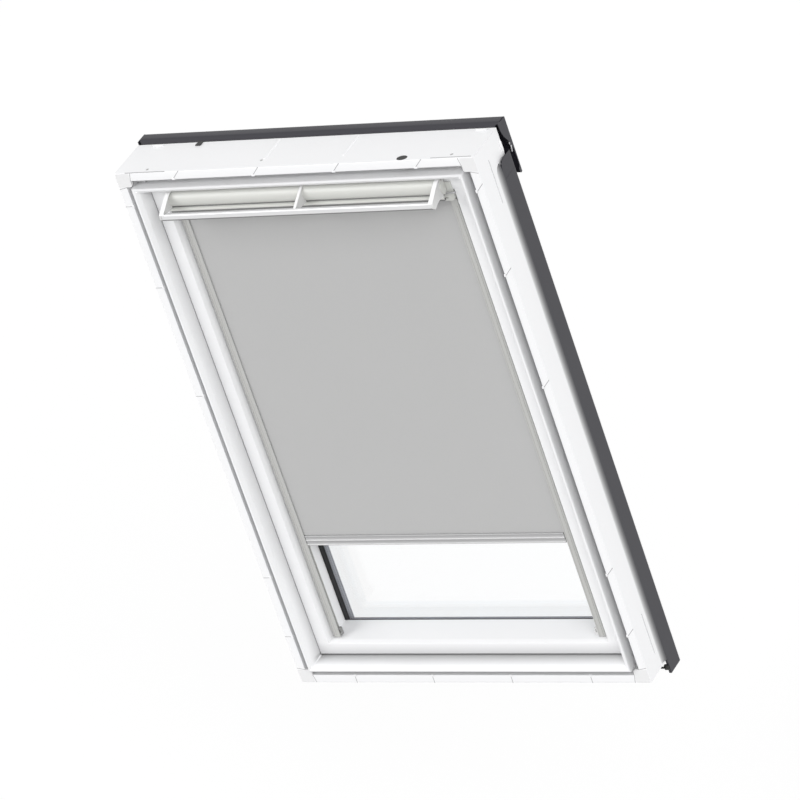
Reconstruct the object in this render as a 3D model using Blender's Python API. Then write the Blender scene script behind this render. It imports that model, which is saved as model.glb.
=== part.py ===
"""Centre-pivot roof window with a roller blind on its sash.

Metres, +Z up, room side towards -Y. Every piece is drawn in window coordinates: X from the
middle, Y as depth from the flange's room-side face, Z from the frame's lower edge. The empty
"window" then sets the depth so that the origin lies on the frame's lower face.
"""
import bpy
import bmesh
from math import atan2, cos, hypot, pi, radians, sin, tan
from mathutils import Matrix, Vector

# Fits
GAP = 0.0003
RUNNING = 0.0004

# Frame
WIDTH = 0.780
HEIGHT = 1.178
FRAME_DEPTH = 0.105
MOUNT_DEPTH = 0.045
FLANGE = 0.0175
GROOVE = 0.0132
GROOVE_DEPTH = 0.018
LIP = 0.0117
LIP_RISE = 0.0083
REVEAL = 0.0076
LAND_FRONT = 0.022
LAND_BACK = 0.036
REBATE_WALL = 0.043
COVER_SEAT = 0.0006
KEY_LEG = 0.034
SLOT_LENGTH = 0.092
SLOT_WIDTH = 0.0016
SLOT_CUT = 0.0012
SLOT_INSET = 0.034
SIDE_SLOT_DEPTH = 0.044
HEAD_SLOT_DEPTH = 0.003
HEAD_RIB_X = (-0.0735, 0.0990)
HEAD_RIB_WIDTH = 0.004
HEAD_RIB_RISE = 0.0010
HEAD_RIB_DEPTHS = (0.030, 0.099)
CABLE_INSET = 0.156
CABLE_DEPTH = 0.0095
CABLE_HALF_LONG = 0.0105
CABLE_HALF_SHORT = 0.0065
SEAL_DEPTH = 0.0055

# Outer covers
SHEET = 0.0016
SIDE_STAND = 0.0040
SIDE_COVER_FRONT = 0.0728
COVER_RISE = 0.013
COVER_DROP = 0.028
COVER_JOINT = 0.091
COVER_END = 0.054
COVER_END_RADIUS = 0.018
GUTTER = 0.0085
SILL_HEM = 0.008
SILL_COVER_FRONT = 0.066
HOOD_RISE = 0.0365
HOOD_FIT = 0.0015
HOOD_REACH = 0.118
HOOD_STAND = 0.0040
HOOD_RADIUS = 0.004
SKIRT_STAND = 0.0068
SKIRT_DROP = 0.109
CLIP_INSET = 0.147
CLIP_WIDTH = 0.020
CLIP_LAP = 0.015
CLIP_SHEET = 0.0016

# Sash
SASH_SIDE_GAP = 0.0015
SASH_END_GAP = 0.003
SASH_FACE = 0.0262
SASH_BEVEL = 0.0066
SASH_BEVEL_DEPTH = 0.0124
SASH_INNER = 0.037
SASH_RISE = 0.007
GASKET = 0.002
GLASS_REBATE = 0.0205
GLASS_EDGE = 0.0215
PANE = 0.004
CAVITY = 0.016
GASKET_INNER = 0.0445
SPACER_OUTER = 0.036
SPACER_INNER = 0.0555
SASH_COVER_RISE = 0.009
SASH_COVER_LIP = 0.046
SASH_COVER_HEM = 0.035
TOP_COVER_INSET = 0.0032

# Sash pivot
PIVOT_DEPTH = 0.061
PIN_RADIUS = 0.006
PIN_ENTRY = 0.0085
PLATE = 0.003
PLATE_HEIGHT = 0.120
PLATE_HALF = 0.015
PLATE_SCREW = 0.045
SHOE_ROOM = 0.0025
SHOE = 0.003

# Lock
LOCK_HALF = 0.045
LOCK_FRONT = 0.044
LOCK_BACK = 0.070
LOCK_HEIGHT = 0.018
STRIKER_HALF = 0.038
STRIKER = 0.002

# Ventilation flap and control bar
FLAP_SIDE_ROOM = 0.022
FLAP_RADIUS = 0.0160
FLAP_DEPTH = 0.0185
FLAP_DROP = 0.0675
FLAP_WALL = 0.0016
FLAP_LIP = 0.0036
FLAP_AXIS_DEPTH = 0.0150
FLAP_AXIS_DROP = 0.0140
FLAP_END = 0.003
FLAP_ROD = 0.0020
EYE_RADIUS = 0.0042
EYE_WIDTH = 0.014
EYE_INSET = 0.168
BAR_INSET = 0.033
BAR_FRONT = -0.0325
BAR_DROP = 0.0120
BAR_DEPTH = 0.009
BAR_TALL = 0.013
END_BRACKET = 0.0112
MID_BRACKET = 0.0055

# Blind
CHANNEL_FIT = 0.0010
CHANNEL_WIDTH = 0.0162
CHANNEL_WALL = 0.0014
CHANNEL_FRONT = 0.0348
CHANNEL_DEPTH = 0.0075
HEADBOX_FIT = 0.0005
HEADBOX_TALL = 0.0315
HEADBOX_FRONT = 0.0248
HEADBOX_BACK = 0.0650
HEADBOX_WALL = 0.0013
HEADBOX_END = 0.003
SLOT_FRONT = 0.0018
SLOT_REAR = 0.0040
ROLLER_RADIUS = 0.012
ROLLER_WALL = 0.0013
ROLLER_PIN = 0.003
ROLLER_PLUG = 0.012
CLOTH = 0.0006
CLOTH_DEPTH = 0.0377
CLOTH_TUCK = 0.0080
BOTTOM_BAR_LOW = 0.303
BOTTOM_BAR_TALL = 0.022
BOTTOM_BAR_FRONT = 0.0334
BOTTOM_BAR_BACK = 0.0424
BOTTOM_BAR_FIT = 0.0017
GUIDE = 0.0030
GUIDE_TALL = 0.016
FOOT_TALL = 0.0065
FOOT_HOOK = 0.015

# Worked out from the sizes above
HALF_WIDTH = WIDTH / 2
LAND_INSET = FLANGE + GROOVE + LIP + REVEAL
SASH_HALF = HALF_WIDTH - LAND_INSET - SASH_SIDE_GAP
SASH_BOTTOM = LAND_INSET + SASH_END_GAP
SASH_TOP = HEIGHT - SASH_BOTTOM
SASH_SHOULDER = SASH_FACE + SASH_BEVEL
SASH_BACK = FRAME_DEPTH + SASH_RISE
GLASS_FRONT = SASH_BACK - 2 * PANE - CAVITY
PIVOT_HEIGHT = HEIGHT / 2
PLATE_FRONT = PIVOT_DEPTH - PLATE_HALF
PLATE_BACK = PIVOT_DEPTH + PLATE_HALF
SHOE_RADIUS = PIVOT_DEPTH - LAND_BACK - SEAL_DEPTH - SHOE_ROOM
COVER_TOP = FRAME_DEPTH + COVER_RISE
SASH_COVER_TOP = SASH_BACK + SASH_COVER_RISE
HOOD_TOP = FRAME_DEPTH + HOOD_RISE
HOOD_FRONT = FRAME_DEPTH + HOOD_FIT
CLIP_FRONT = FRAME_DEPTH - CLIP_LAP
CABLE_X = HALF_WIDTH - CABLE_INSET
CLIP_X = HALF_WIDTH - CLIP_INSET
FLAP_HALF = HALF_WIDTH - LAND_INSET - FLAP_SIDE_ROOM
FLAP_CENTRE = (FLAP_DEPTH, HEIGHT - FLAP_DROP)
FLAP_AXIS = (FLAP_AXIS_DEPTH, FLAP_CENTRE[1] - FLAP_AXIS_DROP)
EYE_X = FLAP_HALF - EYE_INSET
BAR_HALF = FLAP_HALF - BAR_INSET
BAR_CENTRE = (BAR_FRONT, FLAP_CENTRE[1] - BAR_DROP)
CHANNEL_OUTER = SASH_HALF - SASH_SHOULDER - CHANNEL_FIT
CHANNEL_INNER = CHANNEL_OUTER - CHANNEL_WIDTH
HEADBOX_TOP = SASH_TOP - SASH_INNER - HEADBOX_FIT
HEADBOX_BOTTOM = HEADBOX_TOP - HEADBOX_TALL
HEADBOX_HALF = SASH_HALF - SASH_INNER + 0.0013
ROLLER_DEPTH = CLOTH_DEPTH + CLOTH / 2 + RUNNING + ROLLER_RADIUS
ROLLER_HEIGHT = (HEADBOX_BOTTOM + HEADBOX_TOP) / 2
CLOTH_HALF = CHANNEL_INNER + CLOTH_TUCK
BOTTOM_BAR_HALF = CHANNEL_INNER - BOTTOM_BAR_FIT

COLLECTION = "roof_window_with_blind"
PIECES = bpy.data.collections.new(COLLECTION)
CUTTERS = bpy.data.collections.new("cutters")
EMPTIES = {}
MATERIALS = {}


# Scene set-up
def clear_scene():
    """Remove every object, and link the two collections."""
    for obj in list(bpy.data.objects):
        bpy.data.objects.remove(obj, do_unlink=True)
    for collection in (PIECES, CUTTERS):
        bpy.context.scene.collection.children.link(collection)
    CUTTERS.hide_render = True


def add_empty(name, location, parent=None):
    """Make an empty on a joint axis, placed in window coordinates."""
    empty = bpy.data.objects.new(name, None)
    empty.empty_display_size = 0.05
    PIECES.objects.link(empty)
    empty["window_place"] = location
    offset = Vector(location)
    if parent:
        empty.parent = EMPTIES[parent]
        offset -= Vector(EMPTIES[parent]["window_place"])
    empty.location = offset
    EMPTIES[name] = empty
    return empty


def make_empties():
    """The window's own frame of reference and one empty for each moving body."""
    root = add_empty("window", (0, 0, 0))
    root.location = (0, -MOUNT_DEPTH, 0)
    add_empty("sash_pivot", (0, PIVOT_DEPTH, PIVOT_HEIGHT), "window")
    add_empty("flap_axis", (0, *FLAP_AXIS), "sash_pivot")
    add_empty("roller_axis", (0, ROLLER_DEPTH, ROLLER_HEIGHT), "sash_pivot")
    add_empty("blind_slide", (0, CLOTH_DEPTH, BOTTOM_BAR_LOW), "sash_pivot")


def add_material(name, colour, roughness, metallic=0.0, alpha=1.0):
    """Principled material with one colour."""
    material = bpy.data.materials.new(name)
    material.use_nodes = True
    shader = material.node_tree.nodes["Principled BSDF"]
    shader.inputs["Base Color"].default_value = (*colour, 1.0)
    shader.inputs["Roughness"].default_value = roughness
    shader.inputs["Metallic"].default_value = metallic
    shader.inputs["Alpha"].default_value = alpha
    MATERIALS[name] = material


def make_materials():
    """Finishes seen in the photograph."""
    add_material("white_coat", (0.88, 0.88, 0.89), 0.45)
    add_material("white_plastic", (0.80, 0.80, 0.78), 0.40)
    add_material("warm_grey", (0.55, 0.55, 0.53), 0.45)
    add_material("grey_cladding", (0.09, 0.088, 0.10), 0.45, 0.2)
    add_material("cloth_grey", (0.52, 0.52, 0.52), 0.90)
    add_material("bright_metal", (0.80, 0.80, 0.81), 0.28, 0.9)
    add_material("steel", (0.45, 0.45, 0.46), 0.35, 1.0)
    add_material("black_rubber", (0.015, 0.015, 0.016), 0.65)
    add_material("spacer_grey", (0.36, 0.36, 0.38), 0.40, 0.7)
    add_material("pane", (0.90, 0.95, 0.96), 0.05, 0.0, 0.3)


# Outlines
def arc(centre, radius, start, end, count):
    """Points on an arc; angles in degrees."""
    step = (end - start) / count
    angles = [radians(start + step * index) for index in range(count + 1)]
    return [(centre[0] + radius * cos(a), centre[1] + radius * sin(a)) for a in angles]


def rounded(corners, count=3):
    """Outline from (u, v) or (u, v, radius) corners, each radius drawn as an arc."""
    points = []
    for index, corner in enumerate(corners):
        here = Vector(corner[:2])
        if len(corner) == 2:
            points.append(tuple(here))
            continue
        radius = corner[2]
        before = (Vector(corners[index - 1][:2]) - here).normalized()
        after = (Vector(corners[(index + 1) % len(corners)][:2]) - here).normalized()
        half = before.angle(after) / 2
        reach = radius / tan(half)
        centre = here + (before + after).normalized() * (radius / sin(half))
        first = here + before * reach - centre
        last = here + after * reach - centre
        start = atan2(first.y, first.x)
        sweep = (atan2(last.y, last.x) - start + pi) % (2 * pi) - pi
        for step in range(count + 1):
            angle = start + sweep * step / count
            points.append((centre.x + radius * cos(angle), centre.y + radius * sin(angle)))
    return points


def sheet(path, thickness):
    """Closed outline of a bent sheet: the path offset by half its thickness both ways."""
    points = [Vector(point) for point in path]
    legs = [(after - before).normalized() for before, after in zip(points, points[1:])]
    left, right = [], []
    for index, point in enumerate(points):
        before = legs[max(index - 1, 0)]
        after = legs[min(index, len(legs) - 1)]
        along = (before + after).normalized()
        offset = thickness / 2 / along.dot(after)
        normal = Vector((-along.y, along.x)) * offset
        left.append(tuple(point + normal))
        right.append(tuple(point - normal))
    return left + right[::-1]


def ellipse(centre, half_u, half_v, count=24):
    """Points round an ellipse."""
    angles = [2 * pi * index / count for index in range(count)]
    return [(centre[0] + half_u * cos(a), centre[1] + half_v * sin(a)) for a in angles]


def circle(centre, radius, count=24):
    """Points round a circle."""
    return ellipse(centre, radius, radius, count)


def frame_outline(half_width, low, high, inset):
    """Rectangle inset from the outline half_width by low..high, in X and Z."""
    wide = half_width - inset
    return [(-wide, low + inset), (wide, low + inset), (wide, high - inset), (-wide, high - inset)]


# Solids
def extrude(outlines, depth, place):
    """Mesh of flat outlines extruded along the third axis from 0 to depth, then placed.

    The outlines are a filled 2D curve, so an outline inside another is a hole.
    """
    curve = bpy.data.curves.new("outline", "CURVE")
    curve.dimensions = "2D"
    curve.fill_mode = "BOTH"
    curve.extrude = depth / 2
    for outline in outlines:
        spline = curve.splines.new("POLY")
        spline.points.add(len(outline) - 1)
        for point, (u, v) in zip(spline.points, outline):
            point.co = (u, v, 0, 1)
        spline.use_cyclic_u = True
    holder = bpy.data.objects.new("outline", curve)
    bpy.context.scene.collection.objects.link(holder)
    graph = bpy.context.evaluated_depsgraph_get()
    mesh = bpy.data.meshes.new_from_object(holder.evaluated_get(graph))
    bpy.data.objects.remove(holder, do_unlink=True)
    bpy.data.curves.remove(curve)
    shape = bmesh.new()
    shape.from_mesh(mesh)
    bpy.data.meshes.remove(mesh)
    bmesh.ops.remove_doubles(shape, verts=shape.verts, dist=1e-6)
    bmesh.ops.transform(shape, matrix=place @ Matrix.Translation((0, 0, depth / 2)), verts=shape.verts)
    bmesh.ops.recalc_face_normals(shape, faces=shape.faces)
    return shape


def axes(u, v, w, origin=(0, 0, 0)):
    """Matrix that sends an outline's (u, v, along) to three window directions."""
    matrix = Matrix((u, v, w)).transposed().to_4x4()
    matrix.translation = origin
    return matrix


def side_section(side, start):
    """Section (inset, depth) of a member on the left (-1) or right (1), running up from start."""
    return axes((-side, 0, 0), (0, 1, 0), (0, 0, 1), (side * HALF_WIDTH, 0, start))


def sash_side_section(side, start):
    """The same for the sash, whose inset is counted from its own outer face."""
    return axes((-side, 0, 0), (0, 1, 0), (0, 0, 1), (side * SASH_HALF, 0, start))


def end_section(level, upward, start):
    """Section (inset, depth) of a rail: inset goes up from the sill or down from the head."""
    return axes((0, 0, upward), (0, 1, 0), (1, 0, 0), (start, 0, level))


def profile_along_x(start):
    """Outline (depth, height) extruded along X from start."""
    return axes((0, 1, 0), (0, 0, 1), (1, 0, 0), (start, 0, 0))


def facing_room(front):
    """Outline (x, z) extruded into the window from the depth front."""
    return axes((1, 0, 0), (0, 0, 1), (0, 1, 0), (0, front, 0))


def box(low, high):
    """Box between two corners, from a cube primitive."""
    shape = bmesh.new()
    bmesh.ops.create_cube(shape, size=1.0)
    low, high = Vector(low), Vector(high)
    scale = Matrix.Diagonal((*(high - low), 1.0))
    bmesh.ops.transform(shape, matrix=Matrix.Translation((low + high) / 2) @ scale, verts=shape.verts)
    return shape


def rod(start, end, radius, count=24):
    """Cylinder between two points."""
    start, end = Vector(start), Vector(end)
    shape = bmesh.new()
    along = end - start
    bmesh.ops.create_cone(shape, cap_ends=True, segments=count, radius1=radius, radius2=radius,
                          depth=along.length)
    turn = along.to_track_quat("Z", "Y").to_matrix().to_4x4()
    bmesh.ops.transform(shape, matrix=Matrix.Translation((start + end) / 2) @ turn, verts=shape.verts)
    return shape


def trim(shape, point, outward):
    """Cut a closed solid by a plane, drop what lies outward and close the cut."""
    outward = Vector(outward).normalized()
    point = Vector(point) - outward * (GAP / 2)
    geometry = shape.verts[:] + shape.edges[:] + shape.faces[:]
    bmesh.ops.bisect_plane(shape, geom=geometry, dist=1e-7, plane_co=point, plane_no=outward,
                           clear_outer=True)
    rim = [edge for edge in shape.edges if edge.is_boundary]
    bmesh.ops.holes_fill(shape, edges=rim, sides=0)
    bmesh.ops.recalc_face_normals(shape, faces=shape.faces)
    return shape


def make_object(name, shape, parent, collection):
    """Turn a bmesh into an object whose origin lies on its parent's axis."""
    place = Vector(EMPTIES[parent]["window_place"])
    bmesh.ops.translate(shape, vec=-place, verts=shape.verts)
    mesh = bpy.data.meshes.new(name)
    shape.to_mesh(mesh)
    shape.free()
    obj = bpy.data.objects.new(name, mesh)
    collection.objects.link(obj)
    obj.parent = EMPTIES[parent]
    return obj


def piece(name, shape, material, parent="window", smooth=None):
    """Finished part with its material; smooth is the crease angle of round pieces."""
    obj = make_object(name, shape, parent, PIECES)
    obj.data.materials.append(MATERIALS[material])
    if smooth:
        obj.data.shade_smooth()
        obj.data.set_sharp_from_angle(angle=radians(smooth))
    return obj


def boolean(obj, shape, operation="DIFFERENCE"):
    """Cut or join a part with a shape kept among the cutters."""
    cutter = make_object(obj.name + "_tool", shape, "window", CUTTERS)
    cutter.hide_render = True
    cutter.display_type = "WIRE"
    modifier = obj.modifiers.new(operation.lower(), "BOOLEAN")
    modifier.operation = operation
    modifier.object = cutter
    modifier.solver = "EXACT"


def side_name(side):
    """Left is -X and right is +X, seen from the room."""
    return "left" if side < 0 else "right"


# Frame
def frame_section(seat_front=FRAME_DEPTH):
    """Section of a frame member: flange, lining groove, lip, reveal, land and rebate.

    Its outer face has a shallow seat for the cover from seat_front on.
    """
    groove_in = FLANGE + GROOVE
    lip_in = groove_in + LIP
    seat = [(0, FRAME_DEPTH, 0.0010)]
    if seat_front < FRAME_DEPTH:
        seat = [(COVER_SEAT, FRAME_DEPTH, 0.0010), (COVER_SEAT, seat_front), (0, seat_front)]
    return rounded([
        (0, 0, 0.0010), (FLANGE, 0, 0.0008), (FLANGE, GROOVE_DEPTH), (groove_in, GROOVE_DEPTH),
        (groove_in, -LIP_RISE, 0.0016), (groove_in + 0.0046, -LIP_RISE, 0.0030), (lip_in, -0.0016, 0.0030),
        (LAND_INSET, LAND_FRONT, 0.0008), (LAND_INSET, LAND_BACK), (REBATE_WALL, LAND_BACK),
        (REBATE_WALL, FRAME_DEPTH, 0.0010), *seat])


def mitred_stile(section, side, half, low, high, place):
    """Upright member of a mitred rectangle."""
    shape = extrude([section], high - low, place)
    trim(shape, (side * half, 0, low), (-side, 0, -1))
    return trim(shape, (side * half, 0, high), (-side, 0, 1))


def mitred_rail(section, end, half, level, place):
    """Lower (end -1) or upper (end 1) member of a mitred rectangle."""
    shape = extrude([section], 2 * half, place)
    for side in (-1, 1):
        trim(shape, (side * half, 0, level), (side, 0, -end))
    return shape


def make_frame():
    """Four mitred members with the slots, ribs and cable hole of the photograph."""
    section = frame_section(SIDE_COVER_FRONT - SHEET)
    for side in (-1, 1):
        shape = mitred_stile(section, side, HALF_WIDTH, 0, HEIGHT, side_section(side, 0))
        stile = piece("frame_stile_" + side_name(side), shape, "white_coat", smooth=30)
        for low in (SLOT_INSET, HEIGHT - SLOT_INSET - SLOT_LENGTH):
            face = side * HALF_WIDTH
            boolean(stile, box((face - SLOT_CUT, SIDE_SLOT_DEPTH - SLOT_WIDTH / 2, low),
                               (face + SLOT_CUT, SIDE_SLOT_DEPTH + SLOT_WIDTH / 2, low + SLOT_LENGTH)))
    section = frame_section(SILL_COVER_FRONT - SHEET)
    shape = mitred_rail(section, -1, HALF_WIDTH, 0, end_section(0, 1, -HALF_WIDTH))
    piece("frame_sill", shape, "white_coat", smooth=30)
    shape = mitred_rail(frame_section(), 1, HALF_WIDTH, HEIGHT, end_section(HEIGHT, -1, -HALF_WIDTH))
    head = piece("frame_head", shape, "white_coat", smooth=30)
    hole = ellipse((CABLE_X, CABLE_DEPTH), CABLE_HALF_LONG, CABLE_HALF_SHORT)
    wall = FLANGE + GROOVE / 2
    upright = axes((1, 0, 0), (0, 1, 0), (0, 0, 1), (0, 0, HEIGHT - wall + 0.002))
    boolean(head, extrude([hole], wall, upright))
    for side in (-1, 1):
        outer = side * (HALF_WIDTH - 0.008)
        inner = outer - side * SLOT_LENGTH
        boolean(head, box((min(outer, inner), HEAD_SLOT_DEPTH - SLOT_WIDTH / 2, HEIGHT - SLOT_CUT),
                          (max(outer, inner), HEAD_SLOT_DEPTH + SLOT_WIDTH / 2, HEIGHT + SLOT_CUT)))
    half = HEAD_RIB_WIDTH / 2
    for where in HEAD_RIB_X:
        rib = box((where - half, HEAD_RIB_DEPTHS[0], HEIGHT - HEAD_RIB_RISE),
                  (where + half, HEAD_RIB_DEPTHS[1], HEIGHT + HEAD_RIB_RISE))
        boolean(head, rib, "UNION")


def make_corner_keys():
    """Angled keys pressed into the lining groove at the four corners."""
    fit = GAP
    inner, outer = FLANGE + fit, FLANGE + GROOVE - fit
    for side in (-1, 1):
        for end in (-1, 1):
            legs = [(inner, inner), (inner + KEY_LEG, inner), (inner + KEY_LEG, outer),
                    (outer, outer), (outer, inner + KEY_LEG), (inner, inner + KEY_LEG)]
            level = 0 if end < 0 else HEIGHT
            outline = [(side * (HALF_WIDTH - u), level - end * v) for u, v in legs]
            shape = extrude([outline], GROOVE_DEPTH - fit - 0.0025, facing_room(0.0025))
            name = "corner_key_%s_%s" % ("bottom" if end < 0 else "top", side_name(side))
            piece(name, shape, "white_plastic")


def make_seal():
    """Rubber seal that rings the sash behind the frame's land."""
    outer = frame_outline(HALF_WIDTH, 0, HEIGHT, REBATE_WALL + GAP)
    inner = frame_outline(HALF_WIDTH, 0, HEIGHT, LAND_INSET - 0.0006)
    shape = extrude([outer, inner], SEAL_DEPTH, facing_room(LAND_BACK + GAP))
    piece("weather_seal", shape, "black_rubber")


# Outer covers on the frame
def gutter_path(stand, front, front_return):
    """Bent-sheet path (inset, depth) shared by the side and sill covers."""
    gutter = LAND_INSET - 0.0008
    return [*front_return, (-stand, front),
            *arc((-stand + 0.005, COVER_TOP - 0.005), 0.005, 180, 90, 4),
            (gutter - 0.003, COVER_TOP), (gutter, COVER_TOP - 0.003),
            (gutter, FRAME_DEPTH + 0.0065), (gutter - GUTTER, FRAME_DEPTH + 0.0065),
            (gutter - GUTTER, FRAME_DEPTH + GAP)]


def side_cover_outline():
    """Section of the side cover, with a small return at its room-side edge."""
    front_return = [(COVER_SEAT - GAP, SIDE_COVER_FRONT)]
    return sheet(gutter_path(SIDE_STAND, SIDE_COVER_FRONT, front_return), SHEET)


def make_side_covers():
    """Long bent covers at both sides, each with a rounded piece at its upper end."""
    joint = HEIGHT - COVER_JOINT
    top = HEIGHT - COVER_END
    for side in (-1, 1):
        shape = extrude([side_cover_outline()], joint - GAP + COVER_DROP, side_section(side, -COVER_DROP))
        piece("side_cover_" + side_name(side), shape, "grey_cladding", smooth=30)
        shape = extrude([side_cover_outline()], top - joint, side_section(side, joint))
        end = piece("cover_end_" + side_name(side), shape, "grey_cladding", smooth=30)
        front = SIDE_COVER_FRONT - SHEET
        radius = COVER_END_RADIUS
        corner = [(front - 0.001, top + 0.001), (front - 0.001, top - radius)]
        corner += arc((front + radius, top - radius), radius, 180, 90, 6)
        corner += [(front + radius, top + 0.001)]
        start = side * HALF_WIDTH - 0.012
        boolean(end, extrude([corner], 0.024, profile_along_x(start)))


def make_sill_cover():
    """Cover round the sill's lower and outer faces, between the side covers."""
    stand = SHEET / 2 + GAP - COVER_SEAT
    hem = [(-stand - SILL_HEM, SILL_COVER_FRONT)]
    outline = sheet(gutter_path(stand, SILL_COVER_FRONT, hem), SHEET)
    half = HALF_WIDTH - LAND_INSET - 0.0008
    shape = extrude([outline], 2 * half, end_section(0, 1, -half))
    piece("sill_cover", shape, "grey_cladding", smooth=30)


def make_hood():
    """Top hood: a bent sheet over the head with a tapered skirt at each end."""
    radius = HOOD_RADIUS
    top = HOOD_TOP - SHEET / 2
    path = [(-GAP, HOOD_FRONT), (-HOOD_STAND, HOOD_FRONT),
            *arc((-HOOD_STAND + radius, top - radius), radius, 180, 90, 4),
            (HOOD_REACH - 0.003, top), (HOOD_REACH, top - 0.003), (HOOD_REACH, top - 0.009)]
    half = HALF_WIDTH + SKIRT_STAND
    shape = extrude([sheet(path, SHEET)], 2 * half, end_section(HEIGHT, -1, -half))
    hood = piece("top_hood", shape, "grey_cladding", smooth=30)
    upper = HEIGHT + HOOD_STAND
    lower = HEIGHT - SKIRT_DROP
    skirt = [(HOOD_FRONT + 0.001, upper), (HOOD_TOP - 0.003, upper), (HOOD_TOP - 0.0004, upper - 0.003),
             (HOOD_TOP - 0.0004, lower + 0.006), (HOOD_TOP - 0.005, lower), (HOOD_TOP - 0.018, lower),
             (HOOD_TOP - 0.026, HEIGHT - COVER_END)]
    for side in (-1, 1):
        start = side * (half - SHEET / 2) - SHEET / 2
        boolean(hood, extrude([skirt], SHEET, profile_along_x(start)), "UNION")


def make_hood_clips():
    """Clips that hook over the head and carry the hood, each through a notch in its front wall."""
    hood = bpy.data.objects["top_hood"]
    under = HOOD_TOP - SHEET - GAP
    back = FRAME_DEPTH + GAP
    top = HEIGHT + GAP
    outline = [(CLIP_FRONT, top), (back, top), (back, HEIGHT - 0.036), (under, HEIGHT - 0.030),
               (under, HEIGHT - 0.014), (HOOD_FRONT + 0.006, top + CLIP_SHEET - 0.0006),
               (HOOD_FRONT + 0.001, top + CLIP_SHEET), (CLIP_FRONT + 0.001, top + CLIP_SHEET),
               (CLIP_FRONT, top + CLIP_SHEET - 0.0008)]
    for side in (-1, 1):
        start = side * CLIP_X - CLIP_WIDTH / 2
        shape = extrude([outline], CLIP_WIDTH, profile_along_x(start))
        piece("hood_clip_" + side_name(side), shape, "black_rubber")
        boolean(hood, box((start - GAP, HOOD_FRONT - SHEET, HEIGHT - 0.001),
                          (start + CLIP_WIDTH + GAP, HOOD_FRONT + SHEET, top + CLIP_SHEET + GAP)))


# Sash
def sash_section():
    """Section of every sash member: face, bevel, sloping inner side and glass rebate."""
    face = LAND_FRONT
    return rounded([
        (0, face, 0.0010), (SASH_FACE - 0.0008, face, 0.0012),
        (SASH_FACE + SASH_BEVEL, face + SASH_BEVEL_DEPTH, 0.0015),
        (SASH_INNER, GLASS_FRONT - GASKET), (GLASS_REBATE, GLASS_FRONT - GASKET),
        (GLASS_REBATE, SASH_BACK), (0, SASH_BACK, 0.0010)])


def make_sash():
    """Four mitred members; the stiles are bored for the pivot pins, the top rail for the lock."""
    section = sash_section()
    for side in (-1, 1):
        shape = mitred_stile(section, side, SASH_HALF, SASH_BOTTOM, SASH_TOP,
                             sash_side_section(side, SASH_BOTTOM))
        stile = piece("sash_stile_" + side_name(side), shape, "white_coat", "sash_pivot", 30)
        start = (side * (SASH_HALF - PIN_ENTRY - 0.001), PIVOT_DEPTH, PIVOT_HEIGHT)
        end = (side * (SASH_HALF + 0.001), PIVOT_DEPTH, PIVOT_HEIGHT)
        boolean(stile, rod(start, end, PIN_RADIUS + RUNNING, 32))
    shape = mitred_rail(section, -1, SASH_HALF, SASH_BOTTOM, end_section(SASH_BOTTOM, 1, -SASH_HALF))
    piece("sash_bottom_rail", shape, "white_coat", "sash_pivot", 30)
    shape = mitred_rail(section, 1, SASH_HALF, SASH_TOP, end_section(SASH_TOP, -1, -SASH_HALF))
    rail = piece("sash_top_rail", shape, "white_coat", "sash_pivot", 30)
    boolean(rail, box((-LOCK_HALF - GAP, LOCK_FRONT - GAP, SASH_TOP - LOCK_HEIGHT),
                      (LOCK_HALF + GAP, LOCK_BACK + GAP, SASH_TOP + 0.001)))


def make_lock():
    """Lock case let into the top rail, and the striker plate under the frame's head."""
    case = box((-LOCK_HALF, LOCK_FRONT, SASH_TOP - LOCK_HEIGHT + GAP), (LOCK_HALF, LOCK_BACK, SASH_TOP))
    piece("lock_case", case, "steel", "sash_pivot")
    top = HEIGHT - REBATE_WALL - GAP
    shape = box((-STRIKER_HALF, PLATE_FRONT, top - STRIKER), (STRIKER_HALF, PLATE_BACK, top))
    plate = piece("striker_plate", shape, "steel")
    middle = (PLATE_FRONT + PLATE_BACK) / 2
    boolean(plate, box((-0.012, middle - 0.004, top - 0.01), (0.012, middle + 0.004, top + 0.01)))


def make_hinges():
    """Pivot hinge on each side: plate with its riveted pin on the frame, bush on the sash."""
    wall = HALF_WIDTH - REBATE_WALL - GAP
    plate_in = wall - PLATE
    for side in (-1, 1):
        name = side_name(side)
        low, high = PIVOT_HEIGHT - PLATE_HEIGHT / 2, PIVOT_HEIGHT + PLATE_HEIGHT / 2
        outline = rounded([(PLATE_FRONT, low, 0.006), (PLATE_BACK, low, 0.006),
                           (PLATE_BACK, high, 0.006), (PLATE_FRONT, high, 0.006)])
        start = wall - PLATE if side > 0 else -wall
        screws = [circle((PIVOT_DEPTH, PIVOT_HEIGHT + off), 0.0025, 12) for off in (-PLATE_SCREW, PLATE_SCREW)]
        shape = extrude([outline, *screws], PLATE, profile_along_x(start))
        plate = piece("pivot_hinge_" + name, shape, "steel", smooth=40)
        boolean(plate, rod((side * (SASH_HALF - PIN_ENTRY), PIVOT_DEPTH, PIVOT_HEIGHT),
                           (side * (wall - PLATE / 2), PIVOT_DEPTH, PIVOT_HEIGHT), PIN_RADIUS, 32), "UNION")
        bush = [circle((PIVOT_DEPTH, PIVOT_HEIGHT), SHOE_RADIUS, 32),
                circle((PIVOT_DEPTH, PIVOT_HEIGHT), PIN_RADIUS + RUNNING, 32)]
        start = SASH_HALF + GAP if side > 0 else -SASH_HALF - GAP - SHOE
        shape = extrude(bush, min(SHOE, plate_in - SASH_HALF - 2 * GAP), profile_along_x(start))
        piece("hinge_bush_" + name, shape, "steel", "sash_pivot", 40)


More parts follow.
